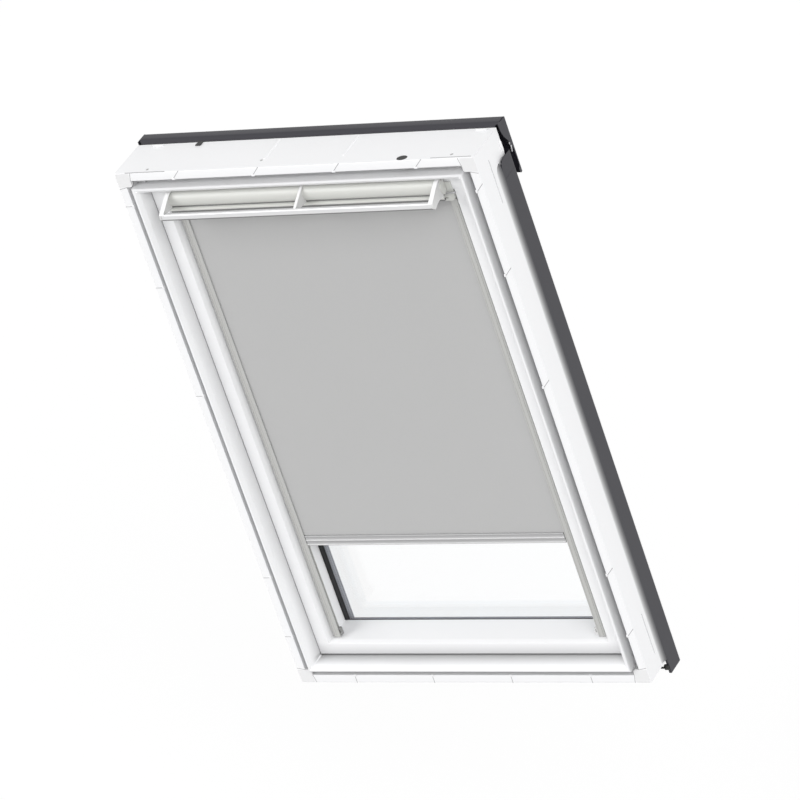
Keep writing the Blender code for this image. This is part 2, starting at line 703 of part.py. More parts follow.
def make_glazing():
    """Two panes, the spacer bar between them and the gasket on the room side."""
    def pane(name, front):
        half = SASH_HALF - GLASS_EDGE
        shape = box((-half, front, SASH_BOTTOM + GLASS_EDGE), (half, front + PANE, SASH_TOP - GLASS_EDGE))
        piece(name, shape, "pane", "sash_pivot")

    def ring(name, outer, inner, front, depth, material):
        outlines = [frame_outline(SASH_HALF, SASH_BOTTOM, SASH_TOP, inset) for inset in (outer, inner)]
        piece(name, extrude(outlines, depth, facing_room(front)), material, "sash_pivot")

    pane("glass_inner", GLASS_FRONT)
    pane("glass_outer", GLASS_FRONT + PANE + CAVITY)
    ring("spacer_bar", SPACER_OUTER, SPACER_INNER, GLASS_FRONT + PANE + GAP, CAVITY - 2 * GAP,
         "spacer_grey")
    ring("glass_gasket", GLASS_EDGE, GASKET_INNER, GLASS_FRONT - GASKET + GAP, GASKET - 2 * GAP,
         "black_rubber")


def sash_cover_outline(start):
    """Section of a sash cover: a foot on the sash, a flat top and a lip on the glass."""
    foot = SASH_BACK + GAP
    top = SASH_COVER_TOP
    return sheet([*start, (SASH_COVER_LIP - 0.005, top), (SASH_COVER_LIP, top - 0.003),
                  (SASH_COVER_LIP, foot)], SHEET)


def make_sash_covers():
    """Outer covers of the sash, mitred at the corners; the lower one laps over the sill."""
    foot = SASH_BACK + GAP
    top = SASH_COVER_TOP
    edge = SHEET / 2 + 0.0004
    upright = sash_cover_outline([(edge, foot), (edge, top - 0.003), (edge + 0.003, top)])
    inset = TOP_COVER_INSET
    upper = sash_cover_outline([(inset, foot), (inset, top - 0.003), (inset + 0.003, top)])
    lower = sash_cover_outline([(-SASH_COVER_HEM, top)])
    for side in (-1, 1):
        shape = mitred_stile(upright, side, SASH_HALF, SASH_BOTTOM, SASH_TOP,
                             sash_side_section(side, SASH_BOTTOM))
        piece("sash_cover_" + side_name(side), shape, "grey_cladding", "sash_pivot", 30)
    half = SASH_HALF + SASH_COVER_HEM
    shape = extrude([lower], 2 * half, end_section(SASH_BOTTOM, 1, -half))
    for side in (-1, 1):
        trim(shape, (side * SASH_HALF, 0, SASH_BOTTOM), (side, 0, 1))
        trim(shape, (side * (SASH_HALF - 0.0004), 0, SASH_BOTTOM), (side, 0, 0))
    piece("sash_cover_bottom", shape, "grey_cladding", "sash_pivot", 30)
    shape = mitred_rail(upper, 1, SASH_HALF, SASH_TOP, end_section(SASH_TOP, -1, -SASH_HALF))
    piece("sash_cover_top", shape, "grey_cladding", "sash_pivot", 30)


# Ventilation flap and control bar
def flap_path():
    """Room-side skin of the flap (depth, height): a half round with a bead along its lower edge."""
    depth, height = FLAP_CENTRE
    low = arc(FLAP_CENTRE, FLAP_RADIUS, 88, 222, 10)
    bead = height - FLAP_RADIUS - FLAP_LIP / 2
    front = depth - FLAP_RADIUS + 0.001
    return low + [(low[-1][0] + 0.0002, bead + FLAP_LIP), (front, bead + FLAP_LIP / 2 + 0.0006),
                  (front, bead - FLAP_LIP / 2 + 0.0006), (front + 0.0062, bead - FLAP_LIP / 2)]


def make_flap():
    """Open-backed ventilation flap with closed ends, turning on a rod."""
    skin = sheet(flap_path(), FLAP_WALL)
    inner = FLAP_HALF - FLAP_END
    shape = extrude([skin], 2 * inner, profile_along_x(-inner))
    piece("vent_flap", shape, "white_plastic", "flap_axis", 35)
    depth, height = FLAP_CENTRE
    radius = FLAP_RADIUS + FLAP_WALL / 2
    bottom = height - FLAP_RADIUS - FLAP_LIP
    axis_hole = circle(FLAP_AXIS, FLAP_ROD + GAP, 16)
    cheek = arc(FLAP_CENTRE, radius, 88, 205, 9)
    cheek += [(depth - FLAP_RADIUS + 0.0025, bottom + 0.002), (depth - FLAP_RADIUS + 0.0045, bottom),
              (FLAP_AXIS[0] + 0.0010, bottom), (FLAP_AXIS[0] + 0.0042, FLAP_AXIS[1] - 0.001),
              (depth + 0.0012, height - 0.006)]
    for side in (-1, 1):
        start = inner + GAP if side > 0 else -FLAP_HALF
        shape = extrude([cheek, axis_hole], FLAP_END - GAP, profile_along_x(start))
        piece("flap_end_" + side_name(side), shape, "white_plastic", "flap_axis", 35)
    shape = rod((-FLAP_HALF, *FLAP_AXIS), (FLAP_HALF, *FLAP_AXIS), FLAP_ROD, 16)
    piece("flap_rod", shape, "steel", "flap_axis", 40)
    back = LAND_FRONT - GAP
    stem = EYE_RADIUS * 0.75
    outline = [(back, FLAP_AXIS[1] - stem), (back, FLAP_AXIS[1] + stem)]
    outline += arc(FLAP_AXIS, EYE_RADIUS, 48, 312, 12)
    hole = circle(FLAP_AXIS, FLAP_ROD + RUNNING, 16)
    for side in (-1, 1):
        start = side * EYE_X - EYE_WIDTH / 2
        shape = extrude([outline, hole], EYE_WIDTH, profile_along_x(start))
        piece("flap_eye_" + side_name(side), shape, "steel", "sash_pivot", 40)


def bracket_outline(nose):
    """Side view (depth, height) of a bracket: a bowed arm from the flap to the bar."""
    depth, height = FLAP_CENTRE
    reach = FLAP_RADIUS + FLAP_WALL / 2 + GAP
    face = depth - reach
    root = arc(FLAP_CENTRE, reach, 150, 214, 6)
    back = BAR_CENTRE[0] + BAR_DEPTH / 2 + GAP
    top = BAR_CENTRE[1] + BAR_TALL / 2
    bow = [(face - 0.0060, height + 0.0066), (face - 0.0130, height + 0.0044),
           (face - 0.0200, height + 0.0012), (face - 0.0262, height - 0.0028)]
    tip = nose if nose else [(back, top), (back, top - BAR_TALL + 0.0015)]
    under = [(back + 0.010, BAR_CENTRE[1] - 0.0040)]
    return bow + tip + under + root[::-1]


def make_control_bar():
    """Pull bar across the window, carried on the flap by a middle arm and two end arms."""
    depth, height = BAR_CENTRE
    half_deep, half_tall = BAR_DEPTH / 2, BAR_TALL / 2
    corners = [(depth - half_deep, height - half_tall), (depth + half_deep, height - half_tall),
               (depth + half_deep, height + half_tall), (depth - half_deep, height + half_tall)]
    outer = rounded([(*corner, 0.0030) for corner in corners], 4)
    shape = extrude([outer], 2 * BAR_HALF, profile_along_x(-BAR_HALF))
    piece("control_bar", shape, "bright_metal", "flap_axis", 40)
    nose = [(depth - half_deep + 0.002, height + half_tall + 0.0022),
            (depth - half_deep - 0.0012, height + half_tall - 0.0010), (depth - half_deep - 0.0016, height),
            (depth - half_deep - 0.0008, height - half_tall),
            (depth - half_deep + 0.0022, height - half_tall - 0.0022),
            (depth + half_deep, height - half_tall - 0.0016)]
    for side in (-1, 1):
        start = BAR_HALF + GAP if side > 0 else -BAR_HALF - GAP - END_BRACKET
        shape = extrude([bracket_outline(nose)], END_BRACKET, profile_along_x(start))
        piece("bracket_" + side_name(side), shape, "white_plastic", "flap_axis", 40)
    shape = extrude([bracket_outline(None)], MID_BRACKET, profile_along_x(-MID_BRACKET / 2))
    piece("bracket_middle", shape, "white_plastic", "flap_axis", 40)


# Blind
def make_headbox():
    """Folded casing of the blind, open by a slot for the cloth, with a cap at each end."""
    half_wall = HEADBOX_WALL / 2
    front, back = HEADBOX_FRONT + half_wall, HEADBOX_BACK - half_wall
    low, high = HEADBOX_BOTTOM + half_wall, HEADBOX_TOP - half_wall
    path = [(CLOTH_DEPTH - SLOT_FRONT, low), (front + 0.003, low), (front, low + 0.003),
            (front, high - 0.003), (front + 0.003, high), (back, high), (back, low),
            (CLOTH_DEPTH + SLOT_REAR, low)]
    inner = HEADBOX_HALF - HEADBOX_END
    shape = extrude([sheet(path, HEADBOX_WALL)], 2 * inner, profile_along_x(-inner))
    piece("blind_headbox", shape, "white_plastic", "sash_pivot", 30)
    cap = rounded([(HEADBOX_FRONT, HEADBOX_BOTTOM, 0.003), (HEADBOX_BACK, HEADBOX_BOTTOM, 0.001),
                   (HEADBOX_BACK, HEADBOX_TOP, 0.001), (HEADBOX_FRONT, HEADBOX_TOP, 0.003)])
    hole = circle((ROLLER_DEPTH, ROLLER_HEIGHT), ROLLER_PIN + RUNNING, 20)
    for side in (-1, 1):
        start = inner + GAP if side > 0 else -HEADBOX_HALF
        shape = extrude([cap, hole], HEADBOX_END - GAP, profile_along_x(start))
        piece("headbox_end_" + side_name(side), shape, "white_plastic", "sash_pivot", 30)


def make_roller():
    """Hollow roller with a plug at each end whose pin turns in the end caps."""
    inner = HEADBOX_HALF - HEADBOX_END - 0.0015
    centre = (ROLLER_DEPTH, ROLLER_HEIGHT)
    bore = ROLLER_RADIUS - ROLLER_WALL
    shape = extrude([circle(centre, ROLLER_RADIUS, 32), circle(centre, bore, 32)], 2 * inner,
                    profile_along_x(-inner))
    piece("roller_tube", shape, "bright_metal", "roller_axis", 40)
    for side in (-1, 1):
        body = rod((side * (inner - ROLLER_PLUG), *centre), (side * inner, *centre), bore - GAP, 24)
        plug = piece("roller_plug_" + side_name(side), body, "warm_grey", "roller_axis", 40)
        pin = rod((side * (inner - 0.002), *centre), (side * (HEADBOX_HALF - GAP), *centre), ROLLER_PIN, 20)
        boolean(plug, pin, "UNION")


def make_channels():
    """Side channels that guide the cloth, and the foot at the lower end of each."""
    front = CHANNEL_FRONT
    back = front + CHANNEL_DEPTH
    wall = CHANNEL_WALL
    low = SASH_BOTTOM + SASH_SHOULDER + CHANNEL_FIT + FOOT_TALL + GAP
    high = HEADBOX_BOTTOM - GAP
    ridge = 0.0007
    middle = (CHANNEL_INNER + CHANNEL_OUTER) / 2
    section = [(CHANNEL_INNER, front), (middle - 0.003, front), (middle - 0.002, front + ridge),
               (middle + 0.001, front + ridge), (middle + 0.002, front), (CHANNEL_OUTER, front),
               (CHANNEL_OUTER, back), (CHANNEL_INNER, back), (CHANNEL_INNER, back - wall),
               (CHANNEL_OUTER - wall, back - wall), (CHANNEL_OUTER - wall, front + wall + ridge),
               (CHANNEL_INNER, front + wall + ridge)]
    for side in (-1, 1):
        name = side_name(side)
        place = axes((side, 0, 0), (0, 1, 0), (0, 0, 1), (0, 0, low))
        piece("side_channel_" + name, extrude([section], high - low, place), "warm_grey", "sash_pivot", 30)
        bottom = low - FOOT_TALL
        base = [(CHANNEL_OUTER, front), (CHANNEL_OUTER, back), (CHANNEL_INNER - 0.006, back),
                (CHANNEL_INNER - 0.006, front)]
        place = axes((side, 0, 0), (0, 1, 0), (0, 0, 1), (0, 0, bottom))
        foot = piece("channel_foot_" + name, extrude([base], FOOT_TALL - GAP, place), "warm_grey",
                     "sash_pivot", 30)
        hook = [(CHANNEL_INNER - 0.0060, bottom + 0.002), (CHANNEL_INNER - 0.0012, bottom + 0.002),
                (CHANNEL_INNER - 0.0012, bottom + FOOT_HOOK),
                (CHANNEL_INNER - 0.0035, bottom + FOOT_HOOK + 0.002),
                (CHANNEL_INNER - 0.0060, bottom + FOOT_HOOK - 0.001)]
        hook = [(side * u, v) for u, v in hook]
        boolean(foot, extrude([hook], 0.0026, facing_room(back - 0.003)), "UNION")


def make_cloth_and_bar():
    """Blackout cloth at its place in the photograph, and the bar at its lower edge."""
    low, high = BOTTOM_BAR_LOW, BOTTOM_BAR_LOW + BOTTOM_BAR_TALL
    front, back = BOTTOM_BAR_FRONT, BOTTOM_BAR_BACK
    cloth = box((-CLOTH_HALF, CLOTH_DEPTH - CLOTH / 2, high + GAP),
                (CLOTH_HALF, CLOTH_DEPTH + CLOTH / 2, ROLLER_HEIGHT))
    piece("blind_cloth", cloth, "cloth_grey", "sash_pivot")
    outline = rounded([
        (front + 0.0020, low, 0.0010), (back, low, 0.0020), (back, high, 0.0020),
        (front + 0.0012, high, 0.0015), (front + 0.0012, high - 0.0062),
        (front + 0.0022, high - 0.0070), (front + 0.0022, high - 0.0092),
        (front, high - 0.0100, 0.0012), (front, low + 0.0075, 0.0012),
        (front + 0.0022, low + 0.0066), (front + 0.0022, low + 0.0045), (front + 0.0012, low + 0.0038)])
    shape = extrude([outline], 2 * BOTTOM_BAR_HALF, profile_along_x(-BOTTOM_BAR_HALF))
    piece("blind_bottom_bar", shape, "bright_metal", "blind_slide", 35)
    middle = (low + high) / 2
    slot = CHANNEL_FRONT + CHANNEL_WALL + 0.0007
    depth = (slot + CHANNEL_FRONT + CHANNEL_DEPTH - CHANNEL_WALL) / 2
    for side in (-1, 1):
        inner, outer = BOTTOM_BAR_HALF + GAP, CHANNEL_OUTER - CHANNEL_WALL - 0.0008
        ends = sorted((side * inner, side * outer))
        shape = box((ends[0], depth - GUIDE / 2, middle - GUIDE_TALL / 2),
                    (ends[1], depth + GUIDE / 2, middle + GUIDE_TALL / 2))
        piece("bar_guide_" + side_name(side), shape, "warm_grey", "blind_slide")


def main():
    """Build the whole window."""
    clear_scene()
    make_empties()
    make_materials()
    make_frame()
    make_corner_keys()
    make_seal()
    make_side_covers()
    make_sill_cover()
    make_hood()
    make_hood_clips()
    make_sash()
    make_lock()
    make_hinges()
    make_glazing()
    make_sash_covers()
    make_flap()
    make_control_bar()
    make_headbox()
    make_roller()
    make_channels()
    make_cloth_and_bar()
    bpy.context.view_layer.update()


main()
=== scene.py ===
"""Looks of a centre-pivot roof window with a roller blind on its sash."""

import logging
from dataclasses import dataclass
from enum import Enum
from typing import Any, Mapping, Sequence

import bpy
import numpy as np
from mathutils import Matrix, Vector


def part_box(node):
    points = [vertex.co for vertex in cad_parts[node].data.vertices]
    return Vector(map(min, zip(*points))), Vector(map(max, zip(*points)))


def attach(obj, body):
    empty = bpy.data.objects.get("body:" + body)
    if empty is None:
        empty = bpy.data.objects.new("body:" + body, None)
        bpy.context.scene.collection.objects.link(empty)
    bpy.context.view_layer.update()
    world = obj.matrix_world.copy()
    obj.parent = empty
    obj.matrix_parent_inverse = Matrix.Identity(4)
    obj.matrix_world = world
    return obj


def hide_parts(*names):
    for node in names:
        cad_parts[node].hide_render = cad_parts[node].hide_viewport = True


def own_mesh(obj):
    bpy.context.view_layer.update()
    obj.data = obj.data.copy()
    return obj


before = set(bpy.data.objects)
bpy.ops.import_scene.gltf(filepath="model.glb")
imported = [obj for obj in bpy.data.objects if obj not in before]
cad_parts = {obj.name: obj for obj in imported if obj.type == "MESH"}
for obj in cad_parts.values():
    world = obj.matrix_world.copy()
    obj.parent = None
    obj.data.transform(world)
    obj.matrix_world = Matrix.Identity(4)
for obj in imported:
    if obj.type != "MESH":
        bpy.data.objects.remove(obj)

log = logging.getLogger("roof_window")
Array = np.ndarray
ROOM_FACE = -0.045


class Side(Enum):
    """The two sides of the window, seen from the room."""

    LEFT = -1
    RIGHT = 1

    @property
    def label(self) -> str:
        """The side as node names have it."""
        return self.name.lower()

    def span(self, near: float, far: float) -> list[float]:
        """Two places on this side, the lower X first.

        Args:
            near: distance of one from the middle.
            far: distance of the other.

        Returns:
            Both X in rising order.
        """
        return sorted((self.value * near, self.value * far))


class End(Enum):
    """The frame's two level edges; the value is the way that insets run from them."""

    BOTTOM = 1
    TOP = -1


class Axis(Enum):
    """Directions along which a drawn surface keeps its lines."""

    X = 0
    Z = 2


# Shader arithmetic
class Value:
    """A socket that takes part in Python arithmetic by adding Math nodes."""

    def __init__(self, graph: "Graph", socket: bpy.types.NodeSocket) -> None:
        """Wrap a socket.

        Args:
            graph: the material's node graph.
            socket: the output socket that carries the value.
        """
        self.graph = graph
        self.socket = socket

    def _pair(self, operation: str, other: Any, flipped: bool = False) -> "Value":
        """Math node on this value and another.

        Args:
            operation: the Math node's operation.
            other: a number or a Value.
            flipped: True where this value is the second operand.

        Returns:
            The node's result.
        """
        first, second = (other, self) if flipped else (self, other)
        return self.graph.math(operation, first, second)

    def __add__(self, other: Any) -> "Value":
        """Sum."""
        return self._pair("ADD", other)

    __radd__ = __add__

    def __sub__(self, other: Any) -> "Value":
        """Difference."""
        return self._pair("SUBTRACT", other)

    def __rsub__(self, other: Any) -> "Value":
        """Difference with the value second."""
        return self._pair("SUBTRACT", other, True)

    def __mul__(self, other: Any) -> "Value":
        """Product."""
        return self._pair("MULTIPLY", other)

    __rmul__ = __mul__

    def __pow__(self, other: Any) -> "Value":
        """Power."""
        return self._pair("POWER", other)

    def sine(self) -> "Value":
        """Sine of the value in radians."""
        return self.graph.math("SINE", self)

    def absolute(self) -> "Value":
        """Magnitude."""
        return self.graph.math("ABSOLUTE", self)

    def fraction(self) -> "Value":
        """Part after the decimal point."""
        return self.graph.math("FRACT", self)

    def clamped(self) -> "Value":
        """Value held between 0 and 1."""
        node = self.graph.add("ShaderNodeClamp", inputs={"Value": self})
        return Value(self.graph, node.outputs[0])

    def above(self, edge: float, soft: float) -> "Value":
        """0 below edge and 1 above it, over a soft step.

        Args:
            edge: middle of the step.
            soft: width of the step.

        Returns:
            The mask.
        """
        return ((self - edge) * (1.0 / soft) + 0.5).clamped()


class Graph:
    """Node tree of one material."""

    def __init__(self, name: str) -> None:
        """Start a material with an empty tree.

        Args:
            name: the material's name.
        """
        self.material = bpy.data.materials.new(name)
        self.material.use_nodes = True
        self.tree = self.material.node_tree
        self.tree.nodes.clear()

    def feed(self, socket: bpy.types.NodeSocket, value: Any) -> None:
        """Link or set a socket.

        Args:
            socket: the input.
            value: a Value, a socket, a number or a tuple.
        """
        if isinstance(value, Value):
            self.tree.links.new(value.socket, socket)
        elif isinstance(value, bpy.types.NodeSocket):
            self.tree.links.new(value, socket)
        else:
            socket.default_value = value

    def add(self, kind: str, settings: Mapping[str, Any] | None = None,
            inputs: Mapping[Any, Any] | None = None) -> bpy.types.Node:
        """Add a node.

        Args:
            kind: the node's type.
            settings: its attributes.
            inputs: numbers or links for its sockets, by name or number.

        Returns:
            The node.
        """
        node = self.tree.nodes.new(kind)
        for key, value in (settings or {}).items():
            setattr(node, key, value)
        for key, value in (inputs or {}).items():
            self.feed(node.inputs[key], value)
        return node

    def math(self, operation: str, *values: Any) -> Value:
        """Math node.

        Args:
            operation: its operation.
            values: its operands.

        Returns:
            Its result.
        """
        node = self.add("ShaderNodeMath", {"operation": operation}, dict(enumerate(values)))
        return Value(self, node.outputs[0])

    def place(self) -> bpy.types.NodeSocket:
        """Object coordinates, in metres."""
        return self.add("ShaderNodeTexCoord").outputs["Object"]

    def parts(self, vector: Any) -> tuple[Value, Value, Value]:
        """The three numbers of a vector.

        Args:
            vector: the vector's socket.

        Returns:
            Its x, y and z.
        """
        node = self.add("ShaderNodeSeparateXYZ", inputs={0: vector})
        return tuple(Value(self, socket) for socket in node.outputs)

    def stretched(self, scale: Sequence[float]) -> bpy.types.NodeSocket:
        """Object coordinates times a scale for each axis.

        Args:
            scale: the three factors.

        Returns:
            The vector's socket.
        """
        node = self.add("ShaderNodeVectorMath", {"operation": "MULTIPLY"},
                        {0: self.place(), 1: tuple(scale)})
        return node.outputs[0]

    def noise(self, scale: float, detail: float = 2.0, vector: Any = None) -> Value:
        """Noise between 0 and 1.

        Args:
            scale: features per metre, about.
            detail: octaves.
            vector: where it is read; Object coordinates if None.

        Returns:
            The noise.
        """
        inputs = {"Scale": scale, "Detail": detail, "Vector": vector or self.place()}
        return Value(self, self.add("ShaderNodeTexNoise", inputs=inputs).outputs[0])

    def blend(self, share: Any, first: Any, second: Any) -> bpy.types.NodeSocket:
        """Mix two colours.

        Args:
            share: 0 gives the first, 1 the second.
            first: colour or socket.
            second: colour or socket.

        Returns:
            The colour's socket.
        """
        node = self.add("ShaderNodeMix", {"data_type": "RGBA"})
        self.feed(node.inputs[0], share)
        for index, colour in ((6, first), (7, second)):
            self.feed(node.inputs[index], (*colour, 1.0) if isinstance(colour, tuple) else colour)
        return node.outputs[2]

    def relief(self, height: Any, depth: float, strength: float = 1.0) -> bpy.types.NodeSocket:
        """Bump of a height between 0 and 1.

        Args:
            height: the height.
            depth: metres that a height of 1 stands out.
            strength: share of the effect.

        Returns:
            The normal's socket.
        """
        node = self.add("ShaderNodeBump", inputs={"Height": height, "Distance": depth,
                                                  "Strength": strength})
        return node.outputs[0]

    def surface(self, inputs: Mapping[str, Any]) -> bpy.types.Material:
        """Finish the material with one Principled shader.

        Args:
            inputs: its sockets.

        Returns:
            The material.
        """
        shader = self.add("ShaderNodeBsdfPrincipled", inputs=inputs)
        output = self.add("ShaderNodeOutputMaterial")
        self.tree.links.new(shader.outputs[0], output.inputs[0])
        return self.material


Colour = tuple[float, float, float]


def tint(colour: Colour, factor: float) -> Colour:
    """Colour times a factor.

    Args:
        colour: linear red, green and blue.
        factor: the brightness.

    Returns:
        The new colour.
    """
    return tuple(channel * factor for channel in colour)


# Finishes
PEEL_SCALE = 520.0
PEEL_DEPTH = 0.00003


def peel(graph: Graph, scale: float, roughness: float) -> tuple[Value, Value, Value]:
    """Noises of a sprayed surface: roughness plus a tenth of the slow and 0.06 of the fine one.

    Args:
        graph: the material's graph.
        scale: scale of the fine noise.
        roughness: middle roughness.

    Returns:
        The slow noise, the fine noise and the roughness.
    """
    slow, fine = graph.noise(7.0, 3.0), graph.noise(scale, 2.0)
    return slow, fine, roughness + (slow - 0.5) * 0.10 + (fine - 0.5) * 0.06


@dataclass(frozen=True)
class Coat:
    """Sprayed or moulded coat: faint orange peel, slow drift of gloss and tone."""

    name: str
    colour: Colour
    roughness: float = 0.42
    metallic: float = 0.0
    peel_scale: float = PEEL_SCALE
    peel_depth: float = PEEL_DEPTH
    drift: float = 0.02
    coat: float = 0.0

    def build(self) -> bpy.types.Material:
        """The material: colour drifts by a few per cent with slow noise, relief is fine noise."""
        graph = Graph(self.name)
        slow, fine, gloss = peel(graph, self.peel_scale, self.roughness)
        colour = graph.blend(slow, tint(self.colour, 1.0 - self.drift), self.colour)
        return graph.surface({"Base Color": colour, "Roughness": gloss, "Metallic": self.metallic,
                              "Coat Weight": self.coat, "Coat Roughness": 0.25,
                              "Normal": graph.relief(fine, self.peel_depth)})


@dataclass(frozen=True)
class FrameCoat:
    """White coat of frame and sash with painted shade: greyer in the lining groove, down the reveal and low
    down.
    """

    name: str
    colour: Colour
    groove: tuple[float, float] = (0.0174, 0.0322)
    groove_tone: float = 0.74
    reveal: float = 0.0400
    reveal_depth: float = 0.0230
    reveal_tone: float = 0.70
    sill_tone: float = 0.30
    sill_height: float = 0.056
    shade_back: float = 0.030
    rise: tuple[float, float, float] = (-0.2, -0.1, 0.0)

    def build(self) -> bpy.types.Material:
        """The material: the inset is the least of the distances to the frame's four outer edges.

        The groove's mask lies between two insets in front of the groove's floor, and the reveal's
        share grows with depth beyond its own inset. Rise is two heights and a share by which the
        tone falls from the upper one to the lower one. All of them are painted shade and only lower
        the tone.
        """
        graph = Graph(self.name)
        x, y, z = graph.parts(graph.place())
        inset = graph.math("MINIMUM", SIZES.half - x.absolute(),
                           graph.math("MINIMUM", z, SIZES.height - z))
        depth = y - ROOM_FACE
        front = 1 - depth.above(self.shade_back, 0.002)
        near, far = self.groove
        groove = inset.above(near, 0.0005) * (1 - inset.above(far, 0.0022)) * front
        reveal = inset.above(self.reveal, 0.003) * (depth * (1 / self.reveal_depth)).clamped() * front
        slow, fine, gloss = peel(graph, PEEL_SCALE, 0.40)
        sill = (1 - z.above(self.sill_height, 0.004)) * self.sill_tone
        low, high, dim = self.rise
        low_shade = (1 - ((z - low) * (1 / (high - low))).clamped()) * dim
        # Painted shade: the groove, the reveal, the sill and the low band darken the coat where shade
        # falls.
        tone = 1 - groove * (1 - self.groove_tone) - slow * 0.015
        tone = tone - reveal * (sill + (1 - self.reveal_tone)) - low_shade
        colour = graph.blend(tone, (0.0, 0.0, 0.0), self.colour)
        return graph.surface({"Base Color": colour, "Roughness": gloss, "Coat Weight": 0.15,
                              "Coat Roughness": 0.25, "Normal": graph.relief(fine, PEEL_DEPTH)})


@dataclass(frozen=True)
class Drawn:
    """Anodised or rolled metal with fine lines along one direction."""

    name: str
    colour: Colour
    along: Axis
    roughness: float = 0.30
    metallic: float = 0.9
    lines: float = 1400.0
    depth: float = 0.00001

    def build(self) -> bpy.types.Material:
        """The material: noise squeezed across the lines drives tone, gloss and relief."""
        graph = Graph(self.name)
        scale = [self.lines] * 3
        scale[self.along.value] = 6.0
        lines = graph.noise(1.0, 3.0, graph.stretched(scale))
        slow = graph.noise(11.0, 2.0)
        colour = graph.blend(lines * 0.5 + slow * 0.3, tint(self.colour, 0.90), self.colour)
        gloss = self.roughness + (lines - 0.5) * 0.16 + (slow - 0.5) * 0.05
        return graph.surface({"Base Color": colour, "Roughness": gloss, "Metallic": self.metallic,
                              "Normal": graph.relief(lines, self.depth)})


@dataclass(frozen=True)
class Weave:
    """Coated plain weave: crossing threads as products of sines, with slubs and a faint mottle."""

    name: str
    colour: Colour
    thread: float = 0.00075
    depth: float = 0.00006

    def build(self) -> bpy.types.Material:
        """The material: warp and weft heights cross at the thread's pitch along X and Z."""
        graph = Graph(self.name)
        x, _, z = graph.parts(graph.place())
        turn = 2 * np.pi / self.thread
        warp = (x * turn).sine()
        weft = (z * turn).sine()
        threads = warp * weft * 0.25 + 0.5
        slubs = graph.noise(1.0, 2.0, graph.stretched((90.0, 90.0, 900.0)))
        runs = graph.noise(1.0, 2.0, graph.stretched((900.0, 90.0, 60.0)))
        slow = graph.noise(5.0, 3.0)
        height = threads + (slubs - 0.5) * 0.5 + (runs - 0.5) * 0.4
        share = (threads * 0.35 + slubs * 0.25 + runs * 0.2 + slow * 0.2).clamped()
        colour = graph.blend(share, tint(self.colour, 0.94), tint(self.colour, 1.05))
        return graph.surface({"Base Color": colour, "Roughness": 0.88 + (threads - 0.5) * 0.10,
                              "Sheen Weight": 0.15, "Sheen Roughness": 0.5,
                              "Specular IOR Level": 0.25,
                              "Normal": graph.relief(height, self.depth)})


@dataclass(frozen=True)
class Rubber:
    """Extruded rubber: dark, matt, with fine pores."""

    name: str
    colour: Colour = (0.012, 0.012, 0.013)

    def build(self) -> bpy.types.Material:
        """The material: pores from fine noise in relief, dusty tone from slow noise."""
        graph = Graph(self.name)
        pores = graph.noise(1800.0, 2.0)
        dust = graph.noise(30.0, 3.0)
        colour = graph.blend(dust, self.colour, tint(self.colour, 1.9))
        return graph.surface({"Base Color": colour, "Roughness": 0.62 + (pores - 0.5) * 0.2,
                              "Normal": graph.relief(pores, PEEL_DEPTH)})


@dataclass(frozen=True)
class Perforated:
    """Spacer bar of rolled metal with a row of small breathing holes, painted as near-black spots."""

    name: str
    colour: Colour
    pitch: float = 0.0042
    hole: float = 0.22
    stile_x: float = 0.2905
    row_start: float = 0.0925
    row_pitch: float = 0.0075

    def build(self) -> bpy.types.Material:
        """The material: holes repeat along the leg, Z on the stiles and X elsewhere, in two rows."""
        graph = Graph(self.name)
        x, y, z = graph.parts(graph.place())
        stile = x.absolute().above(self.stile_x, 0.0005)
        run = z * stile + x * (1 - stile)
        along = (run * (1 / self.pitch)).fraction() - 0.5
        across = ((y - ROOM_FACE - self.row_start) * (1 / self.row_pitch)).fraction() - 0.5
        radius = (along * along + across * across * 3.2) ** 0.5
        holes = 1 - radius.above(self.hole, 0.16)
        lines = graph.noise(240.0, 2.0)
        base = graph.blend(lines, tint(self.colour, 0.85), self.colour)
        # Painted shade: the holes are near-black spots in place of the shade inside them.
        colour = graph.blend(holes, base, (0.03, 0.03, 0.04))
        return graph.surface({"Base Color": colour, "Roughness": 0.42 + holes * 0.3,
                              "Metallic": 0.4 - holes * 0.4,
                              "Normal": graph.relief(1 - holes, 0.0002)})


@dataclass(frozen=True)
class Pane:
    """Clear float glass: a faint mirror over what lies behind, with a painted bluish reflection along its
    edge.
    """

    name: str
    colour: Colour = (0.93, 0.97, 1.0)
    edge_reflection_colour: Colour = (0.38, 0.60, 0.75)
    alpha: float = 0.030
    edge_alpha: float = 0.030
    edge_x: float = 0.2530
    edge_z: float = 0.1175

    def build(self) -> bpy.types.Material:
        """The material: the edge zone of painted reflection is where X or Z lies near the pane's border,
        with waviness.
        """
        graph = Graph(self.name)
        wave = graph.noise(2.0, 1.0)
        x, _, z = graph.parts(graph.place())
        side = x.absolute().above(self.edge_x, 0.004)
        zone = (side + (1 - z.above(self.edge_z, 0.004))).clamped()
        colour = graph.blend(zone, self.colour, self.edge_reflection_colour)
        return graph.surface({"Base Color": colour, "Roughness": 0.03 + wave * 0.02, "Metallic": 1.0,
                              "Alpha": self.alpha + zone * (self.edge_alpha - self.alpha),
                              "Normal": graph.relief(wave, 0.0002)})


